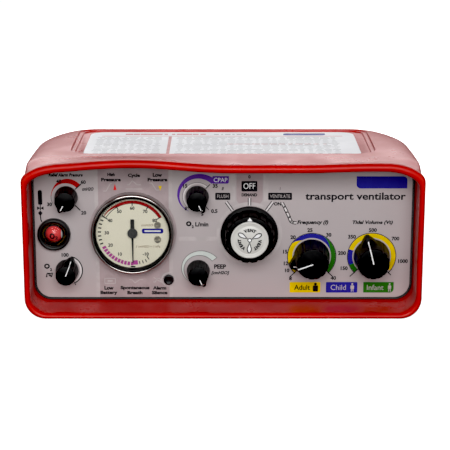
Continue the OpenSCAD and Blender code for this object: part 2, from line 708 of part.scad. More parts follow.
// Gas path.
port_shoulder = 0.5;
manifold_v = [78, 108];
manifold_z = [tray_z + tray_t + 0.01, 31];
spool_at = [88, 20];
spool_r = 4;
module gas_inlet() {
    color([0.78, 0.78, 0.8]) difference() {
        union() {
            rod(inlet_at, 7, manifold_v[1] + 0.02, inner_end);
            rod(inlet_at, 12, inner_end - 4, inner_end - 0.05, 6);
            rod(inlet_at, inlet_r + 0.35, inner_end - 1, case_d + port_shoulder);
            rod(inlet_at, inlet_r, inner_end - 1, case_d + port_reach);
        }
        rod(inlet_at, 4, manifold_v[1] - 1, case_d + port_reach + 1);
    }
}
module patient_outlet() {
    color([0.85, 0.85, 0.84]) difference() {
        union() {
            rod(outlet_at, outlet_bore_r + 2, manifold_v[1] + 0.02, inner_end);
            rod(outlet_at, 13.5, inner_end - 4, inner_end - 0.05);
            rod(outlet_at, outlet_r + 0.35, inner_end - 1, case_d + port_shoulder);
            rod(outlet_at, outlet_r, inner_end - 1, case_d + port_reach);
        }
        rod(outlet_at, outlet_bore_r, manifold_v[1] - 1, case_d + port_reach + 1);
    }
}
module manifold() {
    color([0.66, 0.67, 0.7]) difference() {
        box(-52, 52, manifold_v[0], manifold_v[1], manifold_z[0], manifold_z[1]);
        translate([-53, front_y + spool_at[0], spool_at[1]]) rotate([0, 90, 0])
            cylinder(h = 106, r = spool_r + spindle_gap);
        rod(outlet_at, outlet_bore_r, manifold_v[1] - 12, manifold_v[1] + 1);
        rod(inlet_at, 4, manifold_v[1] - 12, manifold_v[1] + 1);
        for (p = tube_ends) rod([p[0], p[1]], 1.6, manifold_v[0] - 1, manifold_v[0] + 5);
    }
}
module timing_spool() {
    color([0.8, 0.8, 0.82]) translate([0, front_y + spool_at[0], spool_at[1]]) rotate([0, 90, 0])
        rotate_extrude() polygon([[0, -30], [spool_r, -30], [spool_r, -18], [2.6, -18], [2.6, -6], [spool_r, -6],
            [spool_r, 6], [2.6, 6], [2.6, 18], [spool_r, 18], [spool_r, 30], [0, 30]]);
}
module regulator() {
    color([0.74, 0.62, 0.34]) translate([36, front_y + 94, manifold_z[1] + 0.02]) union() {
        cylinder(h = 14, r = 11);
        translate([0, 0, 13.9]) cylinder(h = 2, r = 12, $fn = 12);
        translate([0, 0, 15.8]) cylinder(h = 10, r = 9);
        translate([0, 0, 25.7]) cylinder(h = 4, r = 3.5, $fn = 6);
    }
}

// Tubes from the valves to the manifold, each an S-shaped run.
tube_r = 1.5;
tube_sides = 8;
tube_starts = [
    [relief_at, valve_back + 6.1], [oxygen_at, valve_back + 6.1], [gauge_at, can_back + 6.1],
    [cpap_at, valve_back + 6.1], [peep_at, valve_back + 6.1], [selector_at, valve_back + 12.1],
    [frequency_at, valve_back + 10.1], [volume_at, valve_back + 10.1]];
tube_ends = [[-46, 26], [-46, 14], [-31, 26], [-14, 26], [-14, 14], [10, 26], [34, 20], [46, 20]];
tube_steps = 10;
function s_point(a, b, t) = [
    mix(a[0][0], b[0], smooth(0, 1, t)), front_y + mix(a[1], manifold_v[0] - 0.05, t), mix(a[0][1], b[1], smooth(0, 1, t))];
function s_ring(a, b, t) =
    let (p = s_point(a, b, t), q = s_point(a, b, t + 0.01), d = (q - p) / norm(q - p),
        along = t <= 0 || t >= 1 ? [0, 1, 0] : d,
        side = cross(along, [0, 0, 1]) / norm(cross(along, [0, 0, 1])), up = cross(side, along))
    [for (i = [0 : tube_sides - 1]) let (a = 360 * i / tube_sides) p + tube_r * (cos(a) * side + sin(a) * up)];
module pneumatic_tubes() {
    color([0.85, 0.88, 0.92]) for (i = [0 : len(tube_starts) - 1])
        tube_of([for (j = [0 : tube_steps]) s_ring(tube_starts[i], tube_ends[i], j / tube_steps)]);
}

protective_case();
instruction_label();
case_screws();
bracket_inserts();
front_panel();
panel_overlay();
panel_seal();
chassis_tray();
chassis_screws();
gauge_can();
gauge_bezel();
gauge_glass();
gauge_dial();
gauge_dial_screws();
gauge_pointer();
gauge_pinion();
gauge_plates();
gauge_sector();
gauge_capsule();
relief_knob();
relief_spindle();
relief_valve_body();
oxygen_knob();
oxygen_spindle();
oxygen_valve_body();
cpap_knob();
cpap_spindle();
cpap_valve_body();
peep_knob();
peep_spindle();
peep_valve_body();
selector_knob();
selector_spindle();
selector_valve_body();
selector_cap();
frequency_knob();
frequency_spindle();
frequency_valve_body();
volume_knob();
volume_spindle();
volume_valve_body();
spindle_nuts();
indicator_bezel();
indicator_lens();
indicator_ball();
indicator_cylinder();
silence_button();
silence_switch();
alarm_board();
alarm_lights();
alarm_sounder();
battery_holder();
battery();
battery_cap();
gas_inlet();
patient_outlet();
manifold();
timing_spool();
regulator();
pneumatic_tubes();
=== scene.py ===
"""Looks of a gas-driven transport ventilator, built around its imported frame.

Places are given in millimetres as (x, v, z): x to the right, v the depth behind the front rim
and z the height above the base. Angles on the panel run clockwise from straight up.
"""

import json
import logging
import math
from dataclasses import dataclass, field
from enum import Enum
from typing import Callable, Optional, Sequence

import bmesh
import bpy
import numpy as np
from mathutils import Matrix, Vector


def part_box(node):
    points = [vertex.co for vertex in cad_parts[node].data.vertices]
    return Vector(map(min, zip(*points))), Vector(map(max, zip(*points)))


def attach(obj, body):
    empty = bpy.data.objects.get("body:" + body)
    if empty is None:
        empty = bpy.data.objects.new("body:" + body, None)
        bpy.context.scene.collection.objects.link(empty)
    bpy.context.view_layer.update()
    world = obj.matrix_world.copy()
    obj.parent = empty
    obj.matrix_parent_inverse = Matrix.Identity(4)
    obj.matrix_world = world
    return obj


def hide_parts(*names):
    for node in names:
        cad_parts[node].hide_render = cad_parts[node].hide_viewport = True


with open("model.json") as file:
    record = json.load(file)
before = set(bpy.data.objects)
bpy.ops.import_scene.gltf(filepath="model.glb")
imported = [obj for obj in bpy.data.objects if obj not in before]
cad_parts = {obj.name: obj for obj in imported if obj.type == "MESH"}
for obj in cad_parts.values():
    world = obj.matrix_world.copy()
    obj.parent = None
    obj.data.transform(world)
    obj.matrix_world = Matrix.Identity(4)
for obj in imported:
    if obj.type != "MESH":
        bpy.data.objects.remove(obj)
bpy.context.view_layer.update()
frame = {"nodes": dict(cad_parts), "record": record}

MM = 0.001
ROOT = "ventilator"
FRONT_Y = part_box("protective_case")[0].y / MM
LOG = logging.getLogger("ventilator")

Point2 = tuple[float, float]
Color = tuple[float, float, float]


class Ink(Enum):
    """Printing inks, as linear colours."""

    BLACK = (0.010, 0.010, 0.012)
    GREY = (0.18, 0.17, 0.17)
    PALE = (0.66, 0.62, 0.62)
    WHITE = (0.84, 0.84, 0.84)
    FAINT = (0.47, 0.425, 0.425)
    ZONE = (0.375, 0.305, 0.312)
    RED = (0.40, 0.012, 0.012)
    BRIGHT_RED = (0.72, 0.012, 0.012)
    YELLOW = (0.70, 0.50, 0.004)
    BLUE = (0.022, 0.020, 0.27)
    GREEN = (0.022, 0.15, 0.012)
    PURPLE = (0.105, 0.035, 0.30)
    PINK = (0.50, 0.09, 0.34)
    BROWN = (0.27, 0.17, 0.08)
    TEXT_GREY = (0.36, 0.36, 0.38)
    TEXT_RED = (0.62, 0.24, 0.24)
    MINT = (0.60, 0.64, 0.61)


class Graph:
    """Adds nodes to one node tree and joins them."""

    def __init__(self, tree: bpy.types.NodeTree) -> None:
        """Keeps the tree that the nodes go into."""
        self.tree = tree

    def add(self, kind: str, **settings: object) -> bpy.types.Node:
        """Adds a node and sets its own settings."""
        node = self.tree.nodes.new(kind)
        for key, value in settings.items():
            setattr(node, key, value)
        return node

    def link(self, source: bpy.types.NodeSocket, target: bpy.types.NodeSocket) -> None:
        """Joins an output to an input."""
        self.tree.links.new(source, target)

    def feed(self, target: bpy.types.NodeSocket, value: object) -> None:
        """Gives an input a value, or joins it to another node's output."""
        if isinstance(value, bpy.types.NodeSocket):
            self.link(value, target)
        else:
            target.default_value = value

    def math(self, operation: str, *values: object) -> bpy.types.NodeSocket:
        """Adds a Math node.

        Args:
            operation: the node's operation, such as "ADD".
            values: numbers or outputs for its inputs, in order.

        Returns:
            The node's output.
        """
        node = self.add("ShaderNodeMath", operation=operation)
        for target, value in zip(node.inputs, values):
            self.feed(target, value)
        return node.outputs[0]

    def vector(self, *values: object) -> bpy.types.NodeSocket:
        """Combines three numbers or outputs into a vector."""
        node = self.add("ShaderNodeCombineXYZ")
        for target, value in zip(node.inputs, values):
            self.feed(target, value)
        return node.outputs[0]


class ShaderGroups:
    """Shader effects that more than one finish uses, each built once."""

    _built: dict[str, bpy.types.NodeTree] = {}

    @classmethod
    def get(cls, name: str) -> bpy.types.NodeTree:
        """Returns the named group, building it the first time."""
        if name not in cls._built:
            tree = bpy.data.node_groups.new(name, "ShaderNodeTree")
            cls._built[name] = tree
            getattr(cls, "_" + name)(tree)
        return cls._built[name]

    @staticmethod
    def _sockets(tree: bpy.types.NodeTree, inputs: dict[str, float], outputs: Sequence[str]) -> tuple:
        """Gives a group a Vector input, number inputs and number outputs."""
        tree.interface.new_socket("Vector", in_out="INPUT", socket_type="NodeSocketVector")
        for name, value in inputs.items():
            socket = tree.interface.new_socket(name, in_out="INPUT", socket_type="NodeSocketFloat")
            socket.default_value = value
        for name in outputs:
            tree.interface.new_socket(name, in_out="OUTPUT", socket_type="NodeSocketFloat")
        graph = Graph(tree)
        return graph, graph.add("NodeGroupInput"), graph.add("NodeGroupOutput")

    @classmethod
    def _grain(cls, tree: bpy.types.NodeTree) -> None:
        """Fine moulded grain with a slower ripple under it."""
        graph, given, out = cls._sockets(tree, {"Scale": 1500.0, "Ripple": 0.3}, ["Height"])
        fine = graph.add("ShaderNodeTexNoise")
        slow = graph.add("ShaderNodeTexNoise")
        for node, factor, detail in ((fine, 1.0, 3.0), (slow, 0.12, 2.0)):
            graph.link(given.outputs["Vector"], node.inputs["Vector"])
            graph.link(graph.math("MULTIPLY", given.outputs["Scale"], factor), node.inputs["Scale"])
            node.inputs["Detail"].default_value = detail
        ripple = graph.math("MULTIPLY", slow.outputs["Fac"], given.outputs["Ripple"])
        graph.link(graph.math("ADD", fine.outputs["Fac"], ripple), out.inputs["Height"])

    @classmethod
    def _blotch(cls, tree: bpy.types.NodeTree) -> None:
        """Slow variation from handling and cleaning."""
        graph, given, out = cls._sockets(tree, {"Scale": 40.0, "Low": 0.3, "High": 0.4}, ["Value", "Mask"])
        noise = graph.add("ShaderNodeTexNoise")
        graph.link(given.outputs["Vector"], noise.inputs["Vector"])
        graph.link(given.outputs["Scale"], noise.inputs["Scale"])
        noise.inputs["Detail"].default_value = 5.0
        ramp = graph.add("ShaderNodeMapRange", interpolation_type="SMOOTHSTEP")
        graph.link(noise.outputs["Fac"], ramp.inputs["Value"])
        ramp.inputs["From Min"].default_value = 0.35
        ramp.inputs["From Max"].default_value = 0.65
        spread = graph.math("SUBTRACT", given.outputs["High"], given.outputs["Low"])
        value = graph.math("MULTIPLY_ADD", ramp.outputs["Result"], spread, given.outputs["Low"])
        graph.link(value, out.inputs["Value"])
        graph.link(ramp.outputs["Result"], out.inputs["Mask"])

    @classmethod
    def _brushing(cls, tree: bpy.types.NodeTree) -> None:
        """Fine parallel lines along X, as left by a belt or a lathe."""
        graph, given, out = cls._sockets(tree, {"Scale": 3000.0, "Stretch": 0.02}, ["Height"])
        parts = graph.add("ShaderNodeSeparateXYZ")
        graph.link(given.outputs["Vector"], parts.inputs[0])
        along = graph.math("MULTIPLY", parts.outputs["X"], given.outputs["Stretch"])
        noise = graph.add("ShaderNodeTexNoise")
        graph.link(graph.vector(along, parts.outputs["Y"], parts.outputs["Z"]), noise.inputs["Vector"])
        graph.link(given.outputs["Scale"], noise.inputs["Scale"])
        noise.inputs["Detail"].default_value = 2.0
        graph.link(noise.outputs["Fac"], out.inputs["Height"])

    @classmethod
    def _edge_wear(cls, tree: bpy.types.NodeTree) -> None:
        """A mask of convex edges broken up by noise, for a painted highlight along them."""
        graph, given, out = cls._sockets(tree, {"Start": 0.52, "Scale": 350.0}, ["Mask"])
        shape = graph.add("ShaderNodeNewGeometry")
        noise = graph.add("ShaderNodeTexNoise")
        graph.link(given.outputs["Vector"], noise.inputs["Vector"])
        graph.link(given.outputs["Scale"], noise.inputs["Scale"])
        edge = graph.math("SUBTRACT", shape.outputs["Pointiness"], given.outputs["Start"])
        edge = graph.math("MULTIPLY", edge, 14.0)
        broken = graph.math("MULTIPLY", edge, noise.outputs["Fac"])
        clamp = graph.add("ShaderNodeClamp")
        graph.link(broken, clamp.inputs["Value"])
        graph.link(clamp.outputs[0], out.inputs["Mask"])


@dataclass(frozen=True)
class Finish:
    """A solid finish with slow colour and gloss variation, fine relief and a painted highlight on convex edges."""

    name: str
    color: Color
    tint: Color
    slot: Optional[str] = None
    roughness: tuple[float, float] = (0.3, 0.4)
    metallic: float = 0.0
    coat: float = 0.0
    specular: float = 0.5
    grain: float = 1500.0
    relief: float = 0.00003
    brushed: bool = False
    blotch: float = 45.0
    wear: float = 0.0
    highlight_color: Color = (0.8, 0.8, 0.8)

    def material(self) -> bpy.types.Material:
        """Returns the material, building it the first time."""
        found = bpy.data.materials.get(self.name)
        return found or self._build()

    def _group(self, graph: Graph, name: str, where: bpy.types.NodeSocket, **values: float) -> bpy.types.Node:
        """Places a shader group with its own values."""
        node = graph.add("ShaderNodeGroup", node_tree=ShaderGroups.get(name))
        graph.link(where, node.inputs["Vector"])
        for key, value in values.items():
            node.inputs[key].default_value = value
        return node

    def _build(self) -> bpy.types.Material:
        """Builds the node tree."""
        material = bpy.data.materials.new(self.name)
        material.use_nodes = True
        material.diffuse_color = (*self.color, 1.0)
        graph = Graph(material.node_tree)
        shader = material.node_tree.nodes["Principled BSDF"]
        where = graph.add("ShaderNodeTexCoord").outputs["Object"]
        low, high = self.roughness
        blotch = self._group(graph, "blotch", where, Scale=self.blotch, Low=low, High=high)
        mix = graph.add("ShaderNodeMix", data_type="RGBA")
        mix.inputs["A"].default_value = (*self.color, 1.0)
        mix.inputs["B"].default_value = (*self.tint, 1.0)
        graph.link(blotch.outputs["Mask"], mix.inputs["Factor"])
        color = mix.outputs["Result"]
        # Convex edges are lightened towards a lighter colour: a painted highlight.
        if self.wear:
            wear = self._group(graph, "edge_wear", where)
            highlight_color = graph.add("ShaderNodeMix", data_type="RGBA")
            graph.link(graph.math("MULTIPLY", wear.outputs["Mask"], self.wear), highlight_color.inputs["Factor"])
            graph.link(color, highlight_color.inputs["A"])
            highlight_color.inputs["B"].default_value = (*self.highlight_color, 1.0)
            color = highlight_color.outputs["Result"]
        graph.link(color, shader.inputs["Base Color"])
        graph.link(blotch.outputs["Value"], shader.inputs["Roughness"])
        shader.inputs["Metallic"].default_value = self.metallic
        shader.inputs["Specular IOR Level"].default_value = self.specular
        shader.inputs["Coat Weight"].default_value = self.coat
        shader.inputs["Coat Roughness"].default_value = 0.12
        relief = self._group(graph, "brushing" if self.brushed else "grain", where, Scale=self.grain)
        bump = graph.add("ShaderNodeBump")
        bump.inputs["Distance"].default_value = self.relief
        bump.inputs["Strength"].default_value = 1.0
        graph.link(relief.outputs["Height"], bump.inputs["Height"])
        graph.link(bump.outputs["Normal"], shader.inputs["Normal"])
        return material


@dataclass(frozen=True)
class ClearFinish:
    """Clear plastic or glass that shows mostly at grazing angles."""

    name: str
    slot: str
    facing: float
    grazing: float
    roughness: float = 0.03

    def material(self) -> bpy.types.Material:
        """Returns the material, building it the first time."""
        found = bpy.data.materials.get(self.name)
        if found:
            return found
        material = bpy.data.materials.new(self.name)
        material.use_nodes = True
        graph = Graph(material.node_tree)
        shader = material.node_tree.nodes["Principled BSDF"]
        shader.inputs["Base Color"].default_value = (0.05, 0.055, 0.06, 1.0)
        shader.inputs["Specular IOR Level"].default_value = 0.9
        where = graph.add("ShaderNodeTexCoord").outputs["Object"]
        smear = graph.add("ShaderNodeGroup", node_tree=ShaderGroups.get("blotch"))
        graph.link(where, smear.inputs["Vector"])
        smear.inputs["Scale"].default_value = 120.0
        smear.inputs["Low"].default_value = self.roughness
        smear.inputs["High"].default_value = self.roughness * 2.5
        graph.link(smear.outputs["Value"], shader.inputs["Roughness"])
        edge = graph.add("ShaderNodeFresnel")
        edge.inputs["IOR"].default_value = 1.5
        spread = self.grazing - self.facing
        graph.link(graph.math("MULTIPLY_ADD", edge.outputs[0], spread, self.facing), shader.inputs["Alpha"])
        return material


# The case, black mouldings and knobs lighten their convex edges: a painted highlight.
CASE_RED = Finish("case_red_moulding", (0.50, 0.010, 0.006), (0.44, 0.008, 0.005), "case_red",
                  roughness=(0.27, 0.36), specular=0.22, grain=2600.0, relief=0.000012, wear=0.10,
                  highlight_color=(0.72, 0.10, 0.06))
BLACK = Finish("black_moulding", (0.007, 0.007, 0.008), (0.012, 0.012, 0.012), "black_plastic",
               roughness=(0.28, 0.42), specular=0.3, grain=3500.0, relief=0.000012, wear=0.04,
               highlight_color=(0.12, 0.12, 0.12))
WHITE_CAP = Finish("white_moulding", (0.60, 0.59, 0.56), (0.55, 0.54, 0.51), "white_cap",
                   roughness=(0.3, 0.4), grain=2500.0, relief=0.00001)
OVERLAY = Finish("grey_overlay", (0.42, 0.375, 0.378), (0.40, 0.355, 0.360), "panel_print",
                 roughness=(0.36, 0.46), specular=0.35, blotch=14.0, grain=5200.0, relief=0.000008)
LABEL = Finish("white_label", (0.74, 0.74, 0.78), (0.70, 0.70, 0.74), "label_print",
               roughness=(0.3, 0.4), grain=3000.0, relief=0.000006)
KNOB = Finish("black_knob", (0.0045, 0.0045, 0.005), (0.009, 0.009, 0.009), "black_plastic",
              roughness=(0.42, 0.56), specular=0.14, grain=3500.0, relief=0.000012, wear=0.04,
              highlight_color=(0.08, 0.08, 0.08))
SEAL = Finish("seal_rubber", (0.008, 0.008, 0.008), (0.016, 0.016, 0.016), "seal_rubber",
              roughness=(0.6, 0.75), grain=4000.0)
CHROME = Finish("polished_chrome", (0.40, 0.375, 0.36), (0.34, 0.32, 0.31), "chrome_bezel",
                roughness=(0.10, 0.18), metallic=1.0, relief=0.000004, blotch=90.0)
DIAL = Finish("cream_dial", (0.84, 0.80, 0.64), (0.80, 0.76, 0.60), "dial_face",
              roughness=(0.5, 0.62), grain=4200.0, relief=0.000006)
NEEDLE = Finish("black_paint", (0.012, 0.012, 0.012), (0.02, 0.02, 0.02), "pointer_black",
                roughness=(0.4, 0.52), grain=4500.0, relief=0.00001)
HUB = Finish("grey_hub", (0.10, 0.10, 0.10), (0.15, 0.15, 0.15), "pointer_black",
             roughness=(0.3, 0.4), metallic=0.7, grain=3000.0)
STEEL = Finish("turned_steel", (0.55, 0.54, 0.53), (0.46, 0.45, 0.44), "screw_steel",
               roughness=(0.22, 0.38), metallic=1.0, brushed=True, relief=0.00001)
SHAFT = Finish("ground_steel", (0.60, 0.60, 0.61), (0.5, 0.5, 0.52), "spindle_steel",
               roughness=(0.18, 0.3), metallic=1.0, brushed=True, relief=0.000006)
SHEET = Finish("bent_sheet", (0.62, 0.63, 0.65), (0.55, 0.56, 0.58), "sheet_steel",
               roughness=(0.3, 0.42), metallic=1.0, brushed=True, relief=0.000012)
BRASS = Finish("turned_brass", (0.62, 0.43, 0.16), (0.50, 0.33, 0.11), "brass",
               roughness=(0.2, 0.36), metallic=1.0, brushed=True, relief=0.00001)
DIAL_SCREW = Finish("aged_screw", (0.46, 0.43, 0.35), (0.34, 0.31, 0.24), "brass",
                    roughness=(0.3, 0.5), metallic=0.85, brushed=True, relief=0.00001)
BALL_RED = Finish("indicator_red", (0.80, 0.006, 0.006), (0.70, 0.005, 0.005), "indicator_red",
                  roughness=(0.3, 0.4), specular=0.2, grain=3000.0, relief=0.000006)
BALL_WHITE = Finish("indicator_white", (0.76, 0.75, 0.73), (0.70, 0.69, 0.67), "indicator_red",
                    roughness=(0.25, 0.34), grain=3000.0, relief=0.000006)
BOARD = Finish("board_lacquer", (0.012, 0.11, 0.035), (0.010, 0.085, 0.03), "board_green",
               roughness=(0.25, 0.4), grain=2200.0)
LAMP = Finish("lamp_resin", (0.70, 0.70, 0.64), (0.62, 0.62, 0.56), "light_clear", roughness=(0.15, 0.25))
CELL = Finish("cell_sleeve", (0.03, 0.06, 0.20), (0.025, 0.05, 0.17), "cell_wrap", roughness=(0.2, 0.3))
# The ports lighten their convex edges too: a painted highlight.
PORT = Finish("anodised_port", (0.60, 0.61, 0.62), (0.52, 0.53, 0.54), "port_metal",
              roughness=(0.22, 0.34), metallic=1.0, brushed=True, relief=0.00001, wear=0.2)
OUTLET = Finish("pale_outlet", (0.68, 0.68, 0.65), (0.62, 0.62, 0.59), "outlet_plastic",
                roughness=(0.28, 0.38), grain=2200.0, relief=0.00001)
BLOCK = Finish("machined_block", (0.52, 0.53, 0.56), (0.45, 0.46, 0.49), "manifold_metal",
               roughness=(0.25, 0.4), metallic=1.0, brushed=True, relief=0.000012)
TUBE = Finish("soft_tube", (0.62, 0.66, 0.70), (0.56, 0.60, 0.65), "clear_tube", roughness=(0.15, 0.3))
GLASS = ClearFinish("gauge_glass_clear", "clear_lens", facing=0.02, grazing=0.55)
DOME = ClearFinish("dome_clear", "clear_lens", facing=0.02, grazing=0.8, roughness=0.05)


def ink_finish(ink: Ink) -> Finish:
    """Returns the finish of a printing ink, slightly uneven as screen printing is."""
    shade = tuple(0.88 * c for c in ink.value)
    return Finish("ink_" + ink.name.lower(), ink.value, shade, None, roughness=(0.4, 0.52), specular=0.2,
                  blotch=160.0, grain=5200.0, relief=0.000006)


@dataclass
class Solid:
    """Points and faces of a piece while it is put together, in millimetres (x, v, z)."""

    points: list[tuple[float, float, float]] = field(default_factory=list)
    faces: list[tuple[int, ...]] = field(default_factory=list)

    def extend(self, points: Sequence[Sequence[float]], faces: Sequence[Sequence[int]]) -> None:
        """Adds points and the faces that join them."""
        base = len(self.points)
        self.points.extend(tuple(p) for p in points)
        self.faces.extend(tuple(base + i for i in f) for f in faces)

    def rings(self, rings: Sequence[Sequence[Sequence[float]]], closed: bool = False) -> None:
        """Adds a skin over equal rings of points.

        Args:
            rings: the rings, in order.
            closed: whether the last ring joins the first. Otherwise both ends get a cap.
        """
        n, m = len(rings[0]), len(rings)
        faces = []
        for j in range(m if closed else m - 1):
            a, b = j * n, (j + 1) % m * n
            faces += [(a + i, a + (i + 1) % n, b + (i + 1) % n, b + i) for i in range(n)]
        if not closed:
            faces += [tuple(range(n)), tuple((m - 1) * n + i for i in range(n))]
        self.extend([p for ring in rings for p in ring], faces)

    def prism(self, outline: Sequence[Point2], v0: float, v1: float) -> None:
        """Adds a flat plate with a closed outline in x and z, from depth v0 to v1."""
        self.rings([[(x, v, z) for x, z in outline] for v in (v0, v1)])

    def build(self, name: str, finish: object, smooth: Optional[float] = None) -> bpy.types.Object:
        """Makes the mesh object, in metres, with its faces pointing outwards.

        Args:
            name: the object's name.
            finish: a finish with a material() method.
            smooth: the largest angle, in degrees, over which shading runs on.

        Returns:
            The new object.
        """
        mesh = bpy.data.meshes.new(name)
        places = [(x * MM, (FRONT_Y + v) * MM, z * MM) for x, v, z in self.points]
        mesh.from_pydata(places, [], self.faces)
        tidy_mesh(mesh)
        return make_object(name, mesh, finish, smooth)


def tidy_mesh(mesh: bpy.types.Mesh, merge: float = 1e-7) -> None:
    """Merges doubled points and turns every face outwards."""
    work = bmesh.new()
    work.from_mesh(mesh)
    bmesh.ops.remove_doubles(work, verts=work.verts, dist=merge)
    bmesh.ops.dissolve_degenerate(work, edges=work.edges, dist=1e-8)
    bmesh.ops.recalc_face_normals(work, faces=work.faces)
    work.to_mesh(mesh)
    work.free()


def make_object(name: str, mesh: bpy.types.Mesh, finish: object, smooth: Optional[float]) -> bpy.types.Object:
    """Links a mesh as an object with one finish."""
    mesh.name = name
    mesh.materials.clear()
    mesh.materials.append(finish.material())
    if smooth is not None:
        mesh.shade_smooth()
        mesh.set_sharp_from_angle(angle=math.radians(smooth))
    piece = bpy.data.objects.new(name, mesh)
    bpy.context.scene.collection.objects.link(piece)
    return piece


def settle(piece: bpy.types.Object, body: str, finish: object, *nodes: str) -> bpy.types.Object:
    """Makes a piece ride on a body and hides the nodes that it stands for."""
    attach(piece, body)
    getattr(finish, "slot", None)
    if nodes:
        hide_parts(*nodes)
    LOG.info("%s rides on %s", piece.name, body)
    return piece


def centre_of(node: str) -> Point2:
    """Returns the middle of a node's box, as (x, z) in millimetres."""
    low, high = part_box(node)
    return (low.x + high.x) / 2 / MM, (low.z + high.z) / 2 / MM


def depths_of(node: str) -> tuple[float, float]:
    """Returns a node's nearest and furthest depth behind the rim, in millimetres."""
    low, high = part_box(node)
    return low.y / MM - FRONT_Y, high.y / MM - FRONT_Y


def polar(at: Point2, angle: float, radius: float) -> Point2:
    """Returns the point at a clockwise angle from straight up and a radius round a centre."""
    turn = math.radians(angle)
    return at[0] + radius * math.sin(turn), at[1] + radius * math.cos(turn)


def lathe(solid: Solid, at: Point2, profile: Sequence[Point2], closed: bool = False, sides: int = 96) -> None:
    """Adds a turned shape about an axis along the depth.

    Args:
        solid: what it is added to.
        at: the axis, as (x, z).
        profile: (radius, depth) pairs. A radius of 0 is drawn as a very small one and capped.
        closed: whether the profile is a closed loop that never meets the axis.
        sides: points round the axis.
    """
    rings = []
    for radius, depth in profile:
        spots = (polar(at, 360 * i / sides, max(radius, 0.004)) for i in range(sides))
        rings.append([(x, depth, z) for x, z in spots])
    solid.rings(rings, closed)


def rounded_box(x0: float, x1: float, z0: float, z1: float, radii: Sequence[float], steps: int = 6) -> list[Point2]:
    """Returns a rectangle's outline with its own radius at each corner.

    Args:
        x0, x1, z0, z1: its sides.
        radii: radii at the lower left, lower right, upper right and upper left.
        steps: segments in each corner.
    """
    corners = ((x0, z0, 180), (x1, z0, 270), (x1, z1, 0), (x0, z1, 90))
    outline = []
    for (x, z, start), r in zip(corners, radii):
        cx = x + (r if x == x0 else -r)
        cz = z + (r if z == z0 else -r)
        for i in range(steps + 1):
            turn = math.radians(start + 90 * i / steps)
            outline.append((cx + r * math.cos(turn), cz + r * math.sin(turn)))
    return outline


def band(at: Point2, a0: float, a1: float, outer: Callable[[float], float],
         inner: Callable[[float], float], steps: int = 48) -> list[Point2]:
    """Returns the outline of a curved band whose edges may taper.

    Args:
        at: its centre.
        a0, a1: its first and last angle, clockwise from straight up.
        outer, inner: the radii of its edges, given the share 0 to 1 of the way along.
        steps: segments along it.
    """
    shares = [i / steps for i in range(steps + 1)]
    out = [polar(at, a0 + (a1 - a0) * t, outer(t)) for t in shares]
    back = [polar(at, a0 + (a1 - a0) * t, inner(t)) for t in reversed(shares)]
    return out + back


